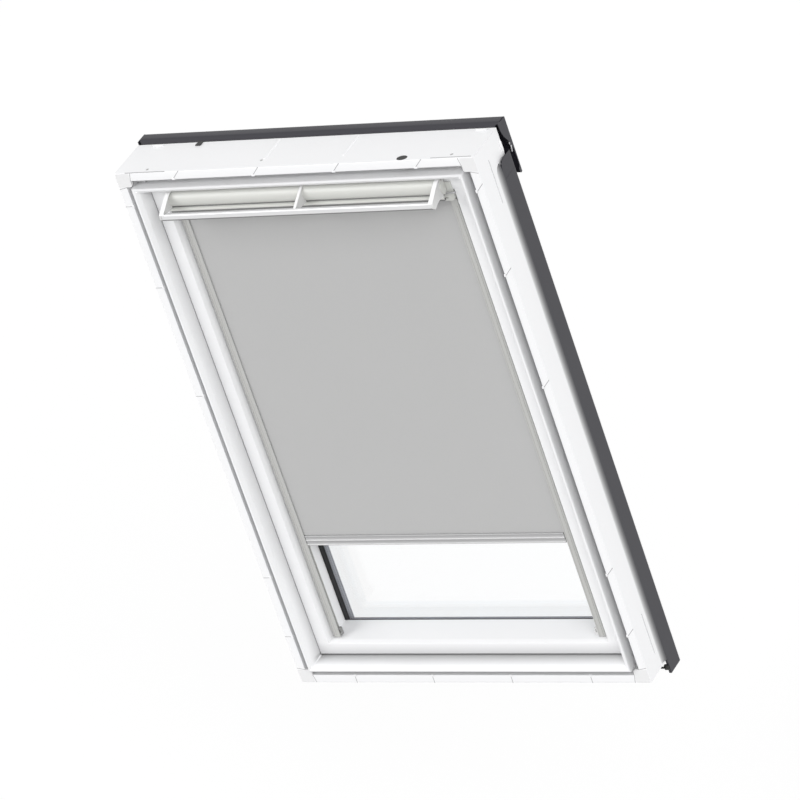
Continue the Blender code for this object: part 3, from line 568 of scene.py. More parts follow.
@dataclass(frozen=True)
class Fading:
    """Strip that fades between two tones along its depth, broken up by slow noise."""

    name: str
    near: Colour
    far: Colour
    start: float
    end: float

    def build(self) -> bpy.types.Material:
        """The material: the share is the depth's place between start and end, to the power 0.6."""
        graph = Graph(self.name)
        _, y, _ = graph.parts(graph.place())
        slow = graph.noise(9.0, 2.0)
        fine = graph.noise(700.0, 2.0)
        depth = y - ROOM_FACE + (slow - 0.5) * 0.0012
        share = ((depth - self.start) * (1 / (self.end - self.start))).clamped()
        # Painted shade: the fade towards the far colour stands for shade.
        colour = graph.blend(share ** 0.6, self.near, self.far)
        return graph.surface({"Base Color": colour, "Roughness": 0.5 + (fine - 0.5) * 0.1,
                              "Normal": graph.relief(fine, PEEL_DEPTH)})


class Finishes:
    """Every finish of the window, built once and kept by name."""

    def __init__(self) -> None:
        """Build the materials."""
        white = (0.86, 0.862, 0.872)
        metal = (0.75, 0.75, 0.755)
        lacquer = (0.0195, 0.0187, 0.0260)
        kinds = {
            "white": Coat("white_polyurethane", white, 0.40, coat=0.15),
            # The frame's coat carries painted shade in its groove and reveal, the sash's coat low down.
            "frame": FrameCoat("white_frame_coat", white),
            "sash": FrameCoat("white_sash_coat", white, (8.0, 9.0), reveal=9.0,
                              rise=(0.048, 0.080, 0.34)),
            # Painted shade: the groove's corner elbows are grey as the groove's shade.
            "key": Coat("white_moulding", (0.56, 0.56, 0.565), 0.48, peel_scale=900.0, drift=0.04),
            "plastic": Coat("bright_plastic", (0.88, 0.88, 0.88), 0.30, peel_scale=300.0,
                            peel_depth=0.00001, coat=0.3),
            # Painted shade on the arms: the webs are a grey copy of the strips' bright plastic; the right
            # catch uses it too.
            "web": Coat("ribbed_plastic", (0.66, 0.66, 0.655), 0.42, peel_scale=300.0, drift=0.03),
            "flap": Coat("warm_lacquer", (0.635, 0.64, 0.61), 0.38, drift=0.03, coat=0.1),
            "lacquer": Coat("grey_lacquer", lacquer, 0.42, peel_scale=800.0, drift=0.10),
            "moulding": Coat("grey_moulding", (0.40, 0.40, 0.39), 0.5, peel_scale=1100.0, drift=0.05),
            # Painted shade: the left catch's darker grey.
            "hook": Coat("dark_moulding", (0.24, 0.24, 0.235), 0.5, peel_scale=1100.0, drift=0.08),
            "casing": Coat("casing_lacquer", (0.58, 0.58, 0.56), 0.4, drift=0.04),
            "black": Coat("black_moulding", (0.012, 0.012, 0.012), 0.5, peel_scale=1100.0, drift=0.1),
            "silver": Drawn("silver_anodised", metal, Axis.X, 0.34, 0.40),
            "hem": Drawn("hem_anodised", tint(metal, 0.60), Axis.X, 0.40, 0.25),
            "cap": Coat("pale_moulding", (0.78, 0.78, 0.785), 0.5, peel_scale=900.0, drift=0.03),
            "line": Coat("joint_grey", (0.40, 0.40, 0.405), 0.6, peel_scale=1500.0, drift=0.08),
            "grey": Coat("grey_seal", (0.20, 0.20, 0.20), 0.6, peel_scale=1500.0, drift=0.08),
            "channel": Drawn("channel_anodised", (0.53, 0.53, 0.515), Axis.Z, 0.40, 0.25, 1800.0,
                             0.00002),
            "steel": Drawn("zinc_steel", (0.50, 0.50, 0.51), Axis.Z, 0.36, 1.0, 500.0),
            "cloth": Weave("blackout_cloth", (0.455, 0.455, 0.454)),
            "rubber": Rubber("black_rubber"),
            "spacer": Perforated("spacer_metal", (0.30, 0.30, 0.325)),
            # Painted shade: the strips beside the side covers fade from white to near black.
            "fillet": Fading("shaded_seal", tint(white, 0.98), (0.05, 0.05, 0.055), 0.0560, 0.0722),
            "pane": Pane("clear_glass"),
            "pane_outer": Pane("edge_tinted_glass", edge_alpha=0.050),
        }
        self.materials = {name: kind.build() for name, kind in kinds.items()}

    def __getitem__(self, name: str) -> bpy.types.Material:
        """The material of that name."""
        return self.materials[name]


def both(*kinds: str) -> list[str]:
    """Node names of each kind on the left and the right.

    Args:
        kinds: the names without their sides.

    Returns:
        The full names.
    """
    return [f"{kind}_{side.label}" for kind in kinds for side in Side]


# Outlines
def rounded(corners: Sequence[tuple[float, float, float]], steps: int = 6) -> Array:
    """Closed outline whose corners are arcs tangent to both sides.

    At each corner the arc's centre lies on the bisector, radius over the sine of half the corner's
    angle away, and the arc runs between the two tangent points, all corners in one array.

    Args:
        corners: (u, v, radius) of each corner in order.
        steps: segments of each arc.

    Returns:
        Points, shape (corners * (steps + 1), 2).
    """
    data = np.array(corners, float)
    here, radius = data[:, :2], data[:, 2]
    before = np.roll(here, 1, axis=0) - here
    after = np.roll(here, -1, axis=0) - here
    before /= np.linalg.norm(before, axis=1, keepdims=True)
    after /= np.linalg.norm(after, axis=1, keepdims=True)
    half = np.arccos(np.clip((before * after).sum(1), -1, 1)) / 2
    middle = before + after
    middle /= np.linalg.norm(middle, axis=1, keepdims=True)
    centre = here + middle * (radius / np.sin(half))[:, None]
    first = here + before * (radius / np.tan(half))[:, None] - centre
    last = here + after * (radius / np.tan(half))[:, None] - centre
    start = np.arctan2(first[:, 1], first[:, 0])
    sweep = np.arctan2(last[:, 1], last[:, 0]) - start
    sweep = (sweep + np.pi) % (2 * np.pi) - np.pi
    angle = start[:, None] + sweep[:, None] * np.linspace(0, 1, steps + 1)[None, :]
    arcs = np.stack([np.cos(angle), np.sin(angle)], axis=-1) * radius[:, None, None]
    return (centre[:, None, :] + arcs).reshape(-1, 2)


def arc(centre: tuple[float, float], radius: float, start: float, end: float, steps: int) -> Array:
    """Points on an arc, by cosine and sine of evenly spaced angles.

    Args:
        centre: its middle.
        radius: its radius.
        start: first angle in degrees.
        end: last angle in degrees.
        steps: segments.

    Returns:
        Points, shape (steps + 1, 2).
    """
    angle = np.radians(np.linspace(start, end, steps + 1))
    return np.array(centre) + radius * np.stack([np.cos(angle), np.sin(angle)], axis=1)


def through(points: Sequence[tuple[float, float]], steps: int = 6) -> Array:
    """Smooth open path through points: a cubic Hermite piece between each two of them.

    The tangent at a point is half the difference of its neighbours, and each piece is the sum of
    two points and two tangents, each times its cubic in the share from 0 to 1.

    Args:
        points: the points in order.
        steps: segments of each piece.

    Returns:
        Points, shape ((points - 1) * steps + 1, 2).
    """
    knots = np.array(points, float)
    padded = np.vstack([2 * knots[0] - knots[1], knots, 2 * knots[-1] - knots[-2]])
    slope = (padded[2:] - padded[:-2]) / 2
    t = (np.arange(steps) / steps)[None, :, None]
    curve = ((2 * t**3 - 3 * t**2 + 1) * knots[:-1, None] + (t**3 - 2 * t**2 + t) * slope[:-1, None]
             + (3 * t**2 - 2 * t**3) * knots[1:, None] + (t**3 - t**2) * slope[1:, None])
    return np.vstack([curve.reshape(-1, 2), knots[-1:]])


def bent_sheet(path: Array, thickness: float) -> Array:
    """Closed outline of a sheet: the path moved half its thickness along its normals, both ways.

    Args:
        path: points of the sheet's middle line.
        thickness: the sheet's thickness.

    Returns:
        The outline.
    """
    legs = np.diff(path, axis=0)
    legs /= np.linalg.norm(legs, axis=1, keepdims=True)
    before = np.vstack([legs[:1], legs])
    after = np.vstack([legs, legs[-1:]])
    along = before + after
    along /= np.linalg.norm(along, axis=1, keepdims=True)
    stretch = 1 / (along * after).sum(1, keepdims=True)
    normal = np.stack([-along[:, 1], along[:, 0]], axis=1) * thickness / 2 * stretch
    return np.vstack([path + normal, (path - normal)[::-1]])


# Meshes
def loft(name: str, rings: Array, closed: bool = False) -> bpy.types.Object:
    """Closed surface through rings of points: quads between rings, a polygon on each end.

    Args:
        name: the piece's name.
        rings: shape (rings, points, 3).
        closed: True where the last ring meets the first, as round a frame.

    Returns:
        The piece.
    """
    count, size = rings.shape[:2]
    index = np.arange(count * size).reshape(count, size)
    ahead = np.roll(index, -1, axis=0) if closed else index[1:]
    base = index if closed else index[:-1]
    quads = np.stack([base, np.roll(base, -1, axis=1), np.roll(ahead, -1, axis=1), ahead], axis=-1)
    faces = quads.reshape(-1, 4).tolist()
    if not closed:
        faces += [index[0][::-1].tolist(), index[-1].tolist()]
    mesh = bpy.data.meshes.new(name)
    mesh.from_pydata(rings.reshape(-1, 3).tolist(), [], faces)
    mesh.update()
    if volume(mesh) < 0:
        mesh.flip_normals()
    piece = bpy.data.objects.new(name, mesh)
    bpy.context.scene.collection.objects.link(piece)
    return piece


def volume(mesh: bpy.types.Mesh) -> float:
    """Signed volume: the sum of each triangle's triple product over six.

    Args:
        mesh: a closed mesh.

    Returns:
        Its volume, positive if its faces point outwards.
    """
    mesh.calc_loop_triangles()
    corners = np.empty(len(mesh.vertices) * 3)
    mesh.vertices.foreach_get("co", corners)
    triangles = np.empty(len(mesh.loop_triangles) * 3, int)
    mesh.loop_triangles.foreach_get("vertices", triangles)
    points = corners.reshape(-1, 3)[triangles.reshape(-1, 3)]
    return float(np.einsum("ij,ij->i", points[:, 0], np.cross(points[:, 1], points[:, 2])).sum() / 6)


def prism_x(outline: Array, start: float, end: float, stations: int = 2) -> Array:
    """Rings of an outline (depth, height) carried along X.

    Args:
        outline: its points.
        start: first X.
        end: last X.
        stations: number of rings.

    Returns:
        The rings.
    """
    x = np.linspace(start, end, stations)[:, None] * np.ones(len(outline))
    depth = np.broadcast_to(outline[:, 0] + ROOM_FACE, x.shape)
    height = np.broadcast_to(outline[:, 1], x.shape)
    return np.stack([x, depth, height], axis=-1)


def prism_z(outline: Array, low: float, high: float, stations: int = 2) -> Array:
    """Rings of an outline (x, depth) carried along Z.

    Args:
        outline: its points.
        low: first Z.
        high: last Z.
        stations: number of rings.

    Returns:
        The rings.
    """
    z = np.linspace(low, high, stations)[:, None] * np.ones(len(outline))
    x = np.broadcast_to(outline[:, 0], z.shape)
    depth = np.broadcast_to(outline[:, 1] + ROOM_FACE, z.shape)
    return np.stack([x, depth, z], axis=-1)


def prism_y(outline: Array, near: float, far: float) -> Array:
    """Rings of an outline (x, height) carried along the depth.

    Args:
        outline: its points.
        near: depth of the first ring.
        far: depth of the last ring.

    Returns:
        Two rings.
    """
    return np.stack([np.column_stack([outline[:, 0], np.full(len(outline), depth + ROOM_FACE),
                                      outline[:, 1]]) for depth in (near, far)])


def cut(piece: bpy.types.Object, cutters: Sequence[bpy.types.Object]) -> None:
    """Cut a piece by others, which are then removed.

    Args:
        piece: the piece.
        cutters: closed shapes.
    """
    for cutter in cutters:
        modifier = piece.modifiers.new("cut", "BOOLEAN")
        modifier.object = cutter
        modifier.solver = "EXACT"
    graph = bpy.context.evaluated_depsgraph_get()
    mesh = bpy.data.meshes.new_from_object(piece.evaluated_get(graph))
    piece.modifiers.clear()
    piece.data = mesh
    for cutter in cutters:
        bpy.data.objects.remove(cutter, do_unlink=True)


def block(name: str, low: Sequence[float], high: Sequence[float], radius: float = 0.0004,
          steps: int = 3) -> bpy.types.Object:
    """Bar with rounded long edges between two corners given as (x, depth, z), carried along X.

    Args:
        name: its name.
        low: lowest corner.
        high: highest corner.
        radius: edge radius.
        steps: segments of each rounded edge.

    Returns:
        The object.
    """
    corners = [(low[1], low[2]), (high[1], low[2]), (high[1], high[2]), (low[1], high[2])]
    outline = rounded([(u, v, radius) for u, v in corners], steps)
    return loft(name, prism_x(outline, low[0], high[0]))


def rod(name: str, start: Sequence[float], end: Sequence[float], radius: float,
        sides: int = 16) -> bpy.types.Object:
    """Round bar with domed ends between two points given as (x, depth, z).

    Each ring is a circle in the plane across the bar, its radius the sine of an angle that runs
    over a quarter turn at both ends, while its place moves by the cosine.

    Args:
        name: its name.
        start: first end.
        end: last end.
        radius: the bar's radius.
        sides: points of each ring.

    Returns:
        The object.
    """
    first = np.array(start, float) + (0, ROOM_FACE, 0)
    last = np.array(end, float) + (0, ROOM_FACE, 0)
    ahead = (last - first) / np.linalg.norm(last - first)
    across = np.cross(ahead, (0.31, 0.87, 0.42))
    across /= np.linalg.norm(across)
    other = np.cross(ahead, across)
    quarter = np.radians(np.linspace(8, 90, 6))
    spread = np.concatenate([np.sin(quarter), np.sin(quarter)[::-1]]) * radius
    shift = np.concatenate([-np.cos(quarter), np.cos(quarter)[::-1]]) * radius
    middle = np.where((np.arange(12) < 6)[:, None], first, last) + shift[:, None] * ahead
    angle = np.linspace(0, 2 * np.pi, sides, endpoint=False)
    circle = np.cos(angle)[:, None] * across + np.sin(angle)[:, None] * other
    return loft(name, middle[:, None, :] + spread[:, None, None] * circle[None])


def disc_z(name: str, centre: tuple[float, float], half: tuple[float, float], low: float,
           high: float) -> bpy.types.Object:
    """Upright oval plug: an ellipse in X and depth carried along Z.

    Args:
        name: its name.
        centre: (x, depth) of its middle.
        half: half widths along X and depth.
        low: lower Z.
        high: upper Z.

    Returns:
        The object.
    """
    angle = np.linspace(0, 2 * np.pi, 40, endpoint=False)
    oval = np.array(centre) + np.stack([np.cos(angle), np.sin(angle)], axis=1) * np.array(half)
    return loft(name, prism_z(oval, low, high))


@dataclass(frozen=True)
class Opening:
    """The window's shared sizes, in metres, all from its outer edge and its flange."""

    width: float = 0.780
    height: float = 1.178
    depth: float = 0.105
    land_inset: float = 0.050
    sash_half: float = 0.3385
    sash_bottom: float = 0.053
    seam: float = 0.00003

    @property
    def half(self) -> float:
        """Half the frame's width."""
        return self.width / 2

    @property
    def sash_top(self) -> float:
        """Height of the sash's upper edge."""
        return self.height - self.sash_bottom

    def stile(self, section: Array, side: Side, half: float, low: float, high: float) -> Array:
        """Rings of an upright member whose ends are cut at 45 degrees: Z shifts with the inset.

        Args:
            section: (inset, depth) points.
            side: left or right.
            half: X of the outer face.
            low: Z of the lower outer corner.
            high: Z of the upper outer corner.

        Returns:
            Two rings.
        """
        inset, depth = section[:, 0], section[:, 1] + ROOM_FACE
        x = side.value * (half - inset)
        ends = [low + inset + self.seam, high - inset - self.seam]
        return np.stack([np.stack([x, depth, z], axis=-1) for z in ends])

    def rail(self, section: Array, half: float, level: float, upward: int) -> Array:
        """Rings of a level member whose ends are cut at 45 degrees: X shifts with the inset.

        Args:
            section: (inset, depth) points.
            half: X of the outer corner.
            level: Z of the outer face.
            upward: 1 where the inset goes up, -1 where it goes down.

        Returns:
            Two rings.
        """
        inset, depth = section[:, 0], section[:, 1] + ROOM_FACE
        z = level + upward * inset
        reach = half - inset - self.seam
        return np.stack([np.stack([x, depth, z], axis=-1) for x in (-reach, reach)])

    def hoop(self, section: Array, half: float, low: float, high: float,
             sink: float = 0.0) -> Array:
        """Four rings of a closed rectangular hoop, one at each mitred corner.

        Args:
            section: (inset, depth) points.
            half: X of the outer face.
            low: Z of the lower outer face.
            high: Z of the upper outer face.
            sink: metres by which the lower leg lies lower than the section says.

        Returns:
            The rings in order round the hoop.
        """
        inset, depth = section[:, 0], section[:, 1] + ROOM_FACE
        foot = low - sink + inset
        corners = [(-1, foot), (1, foot), (1, high - inset), (-1, high - inset)]
        return np.stack([np.stack([side * (half - inset), depth, z], axis=-1) for side, z in corners])


SIZES = Opening()


@dataclass(frozen=True)
class Corner:
    """A corner of the outer frame, from which insets run inwards along both edges."""

    end: End
    side: Side

    @property
    def name(self) -> str:
        """The corner as node names have it."""
        return f"{self.end.name.lower()}_{self.side.label}"

    def place(self, x: float, z: float) -> tuple[float, float]:
        """X and Z of a point.

        Args:
            x: its inset from the upright edge.
            z: its inset from the level edge.

        Returns:
            The two coordinates.
        """
        level = 0.0 if self.end is End.BOTTOM else SIZES.height
        return self.side.value * (SIZES.half - x), level + self.end.value * z

    def plate(self, insets: Sequence[tuple[float, float, float]], near: float, far: float,
              steps: int) -> Array:
        """Rings of a flat plate at the corner.

        Args:
            insets: (x inset, z inset, radius) of each corner of the plate.
            near: depth of its face.
            far: depth of its back.
            steps: segments of each rounded corner.

        Returns:
            Two rings.
        """
        outline = rounded([(*self.place(x, z), radius) for x, z, radius in insets], steps)
        return prism_y(outline, near, far)


@dataclass
class Assembly:
    """A sub-assembly: it finishes its own pieces and repaints the solids that it keeps."""

    finishes: Finishes

    def dress(self, piece: bpy.types.Object, finish: str, body: str, slot: str, *nodes: str,
              smooth: float = 30.0) -> None:
        """Finish a piece: material, smooth shading under a crease angle, body and replaced nodes.

        Args:
            piece: the object.
            finish: name of its finish.
            body: the body it rides on.
            slot: the record's material slot; not used.
            nodes: solids that it stands for.
            smooth: crease angle in degrees.
        """
        piece.data.materials.clear()
        piece.data.materials.append(self.finishes[finish])
        piece.data.shade_smooth()
        piece.data.set_sharp_from_angle(angle=np.radians(smooth))
        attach(piece, body)
        if nodes:
            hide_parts(*nodes)
        log.info("%s: %d faces on %s", piece.name, len(piece.data.polygons), body)

    def joint(self, name: str, start: Sequence[float], end: Sequence[float], radius: float,
              slot: str) -> None:
        """Thin grey joint line on the frame between two points given as (x, depth, z).

        Args:
            name: the piece's name.
            start: first end.
            end: last end.
            radius: half the line's width.
            slot: the record's material slot.
        """
        self.dress(rod(name, start, end, radius, 10), "line", "frame", slot, smooth=60.0)

    def repaint(self, finish: str, *nodes: str) -> None:
        """Give solids that stay in view their finish.

        Args:
            finish: its name.
            nodes: the solids' names.
        """
        material = self.finishes[finish]
        for name in nodes:
            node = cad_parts[name]
            if not node.material_slots:
                node.data.materials.append(material)
            for slot in node.material_slots:
                slot.material = material
            log.info("%s: solid repainted with %s", name, material.name)


@dataclass
class OuterFrame(Assembly):
    """White outer frame: four mitred members, corner pieces, lining nubs and moulded marks."""

    flange: float = 0.0175
    groove: float = 0.0132
    groove_depth: float = 0.021
    lip: float = 0.0117
    lip_rise: float = 0.0083
    land_front: float = 0.022
    land_back: float = 0.036
    wall: float = 0.043
    side_seat: float = 0.0712
    sill_seat: float = 0.0644
    seat: float = 0.0006
    cable: tuple[float, float] = (0.234, 0.0104)
    cable_half: tuple[float, float] = (0.0112, 0.0088)
    slot_length: float = 0.092
    slot_place: float = 0.0448
    slot_half: float = 0.0012
    slot_depth: float = 0.0040
    slot_starts: tuple[float, ...] = (0.038, 1.0518)
    head_slots: tuple[tuple[float, float, float], ...] = ((-0.367, -0.278, 0.0016),
                                                         (0.297, 0.383, 0.0046))
    pips: tuple[tuple[float, float], ...] = ((0.3375, 0.0149), (-0.3216, 0.0117), (-0.0767, 0.0262))
    ribs_x: tuple[tuple[float, float], ...] = ((-0.0775, -0.0690), (0.0955, 0.1020))
    lugs_x: tuple[tuple[float, float], ...] = ((-0.351, -0.330), (0.352, 0.373))
    side_tabs: tuple[float, ...] = (0.110, 0.251, 0.676, 0.923, 1.105)
    end_tabs: tuple[float, ...] = (-0.263, -0.0875, 0.0875, 0.263)
    tick_radius: float = 0.0007

    def section(self, seat_front: float | None) -> Array:
        """Section (inset, depth) of a member.

        Args:
            seat_front: depth from which the outer face is cut back for its cover, or None.

        Returns:
            The outline.
        """
        groove_in = self.flange + self.groove
        lip_in = groove_in + self.lip
        land = SIZES.land_inset
        seat = [(0.0, SIZES.depth, 0.0010)]
        if seat_front:
            seat = [(self.seat, SIZES.depth, 0.0010), (self.seat, seat_front, 0.0002),
                    (0.0, seat_front, 0.0002)]
        return rounded([
            (0, 0, 0.0013), (self.flange, 0, 0.0010), (self.flange, self.groove_depth, 0.0008),
            (groove_in, self.groove_depth, 0.0008), (groove_in, -self.lip_rise, 0.0018),
            (groove_in + 0.0046, -self.lip_rise, 0.0032), (lip_in, -0.0016, 0.0036),
            (land, self.land_front, 0.0012), (land, self.land_back, 0.0005),
            (self.wall, self.land_back, 0.0005), (self.wall, SIZES.depth, 0.0010), *seat])

    def build(self) -> None:
        """Make the four members, with their slots, ribs and cable hole."""
        for side in Side:
            name = side.label
            rings = SIZES.stile(self.section(self.side_seat), side, SIZES.half, 0, SIZES.height)
            piece = loft("stile_skin_" + name, rings)
            cut(piece, self.stile_cutters(side))
            self.dress(piece, "frame", "frame", "white_frame", "frame_stile_" + name)
        sill = loft("sill_skin", SIZES.rail(self.section(self.sill_seat), SIZES.half, 0, 1))
        self.dress(sill, "frame", "frame", "white_frame", "frame_sill")
        head = loft("head_skin", SIZES.rail(self.section(None), SIZES.half, SIZES.height, -1))
        cut(head, self.head_cutters())
        self.dress(head, "frame", "frame", "white_frame", "frame_head")
        # Painted shade: a black plug just under the top face stands for the shade inside the cable hole.
        plug = disc_z("cable_plug", self.cable, tuple(half - 0.0002 for half in self.cable_half),
                      SIZES.height - 0.0120, SIZES.height - 0.0006)
        self.dress(plug, "black", "frame", "clip_black")
        # Painted shade: a grey disc sunk in each pip's recess stands for the shade inside it.
        for index, spot in enumerate(self.pips):
            pip = disc_z(f"head_pip_{index + 1}", spot, (0.0030, 0.0034), SIZES.height - 0.0029,
                         SIZES.height - 0.0008)
            self.dress(pip, "moulding", "frame", "key_plastic")
        corners = [Corner(end, side) for side in Side for end in End]
        for corner in corners:
            self.elbow(corner)
            self.cap(corner)
        level = SIZES.height - 0.0003
        for index, (start, end, depth) in enumerate(self.head_slots):
            self.joint(f"head_slot_seam_{index + 1}", (start + 0.001, depth, level),
                       (end - 0.001, depth, level), 0.0009, "key_plastic")
        self.repaint("rubber", "weather_seal")
        self.ribs()
        self.tabs()
        self.ticks()
        for corner in corners:
            self.bead(corner)

    def stile_cutters(self, side: Side) -> list[bpy.types.Object]:
        """Cutters of a stile: its two long slots.

        Args:
            side: left or right.

        Returns:
            The cutters.
        """
        face = side.value * SIZES.half
        deep, half = self.slot_depth, self.slot_half
        return [block("slot", (face - deep, self.slot_place - half, low),
                      (face + deep, self.slot_place + half, low + self.slot_length), 0.0002)
                for low in self.slot_starts]

    def head_cutters(self) -> list[bpy.types.Object]:
        """Cutters of the head: cable hole, round pips and the thin slots at its corners."""
        top = SIZES.height
        low = top - self.flange - self.groove / 2
        cutters = [disc_z("cable", self.cable, self.cable_half, low, top + 0.01)]
        cutters += [disc_z("pip", spot, (0.0032, 0.0036), top - 0.0030, top + 0.01)
                    for spot in self.pips]
        cutters += [block("slot", (start, depth - self.slot_half, top - self.slot_depth),
                          (end, depth + self.slot_half, top + self.slot_depth), 0.0002)
                    for start, end, depth in self.head_slots]
        return cutters

    def ribs(self) -> None:
        """Two low ribs across the head with sloping flanks, and two lugs under the hood's edge."""
        top, rise, slope = SIZES.height, 0.0016, 0.0016
        for index, (start, end) in enumerate(self.ribs_x):
            across = rounded([(start, top - 0.0004, 0.0001), (end, top - 0.0004, 0.0001),
                              (end - slope, top + rise, 0.0008), (start + slope, top + rise, 0.0008)])
            rib = loft(f"head_rib_{index + 1}", prism_y(across, 0.030, 0.100))
            self.dress(rib, "white", "frame", "white_frame")
        for index, (start, end) in enumerate(self.lugs_x):
            lug = block(f"head_lug_{index + 1}", (start, 0.0940, top - 0.0004),
                        (end, 0.0990, top + 0.0032), 0.0012)
            self.dress(lug, "white", "frame", "white_frame")
        for side in Side:
            x = side.value * SIZES.half - side.value * 0.0012
            boss = rod("stile_boss_" + side.label, (x, 0.1005, 1.131), (x, 0.1005, 1.149), 0.0034)
            self.dress(boss, "white", "frame", "white_frame", smooth=60.0)

    def elbow(self, corner: Corner) -> None:
        """Flat elbow on the lining groove's floor, grey as painted shade of the groove.

        Args:
            corner: where it lies.
        """
        wall, far, reach, radius = 0.0178, 0.0303, 0.0518, 0.0008
        insets = [(x, z, radius) for x, z in ((wall, wall), (reach, wall), (reach, far), (far, far),
                                              (far, reach), (wall, reach))]
        rings = corner.plate(insets, 0.0160, self.groove_depth + 0.0004, 4)
        piece = loft("groove_elbow_" + corner.name, rings)
        self.dress(piece, "key", "frame", "key_plastic", "corner_key_" + corner.name)

    def cap(self, corner: Corner) -> None:
        """Pale square cap over a corner of the flange and groove, and the joints beside it.

        Args:
            corner: where it lies.
        """
        near, far, bevel = 0.0010, 0.0303, 0.0040
        insets = [(near, near, 0.0010), (far, near, 0.0010), (far, far, 0.0040), (near, far, 0.0010)]
        piece = loft("corner_cap_" + corner.name, corner.plate(insets, -0.0002, 0.0050, 5))
        self.dress(piece, "cap", "frame", "key_plastic")
        ends = [((far + bevel, near), (far + 0.0006, self.flange)),
                ((near, far + bevel), (self.flange, far + 0.0006))]
        for index, pair in enumerate(ends):
            first, last = ((x, 0.0003, z) for x, z in (corner.place(*inset) for inset in pair))
            self.joint(f"corner_seam_{corner.name}_{index + 1}", first, last, 0.0007, "key_plastic")

    def bead(self, corner: Corner) -> None:
        """Rounded bead along the mitre of the reveal, from the lip down to the land.

        Args:
            corner: where it lies.
        """
        lip_in = self.flange + self.groove + self.lip
        ends = []
        for inset, depth in ((lip_in - 0.0030, -0.0052), (SIZES.land_inset, 0.0205)):
            x, z = corner.place(inset, inset)
            ends.append((x, depth, z))
        piece = rod("mitre_bead_" + corner.name, *ends, 0.0021)
        self.dress(piece, "white", "frame", "white_frame", smooth=60.0)

    def tabs(self) -> None:
        """Small nubs on the flange, at the groove's edge, that grip the reveal's lining."""
        inset = self.flange - 0.0008
        spots = [(side.value * (SIZES.half - inset), z, 0.0018, 0.0030)
                 for side in Side for z in self.side_tabs]
        spots += [(x, z, 0.0030, 0.0018) for x in self.end_tabs
                  for z in (inset, SIZES.height - inset)]
        for index, (x, z, half_x, half_z) in enumerate(spots):
            piece = block(f"lining_tab_{index + 1:02d}", (x - half_x, -0.0016, z - half_z),
                          (x + half_x, 0.0040, z + half_z), 0.0010, 4)
            self.dress(piece, "white", "frame", "white_frame")

    def ticks(self) -> None:
        """Fine grey joint lines across the flange at each nub: sloping at the head and right stile."""
        edge, top, right = self.flange - 0.0020, SIZES.height, SIZES.half
        lines = [((right - 0.0002, z + edge), (right - edge, z)) for z in self.side_tabs]
        lines += [((0.0002 - right, z), (edge - right, z)) for z in self.side_tabs]
        lines += [((x + edge, top - 0.0002), (x, top - edge)) for x in self.end_tabs]
        lines += [((x, 0.0002), (x, edge)) for x in self.end_tabs]
        for index, (start, end) in enumerate(lines):
            self.joint(f"lining_tick_{index + 1:02d}", (start[0], 0.0003, start[1]),
                       (end[0], 0.0003, end[1]), self.tick_radius, "white_frame")


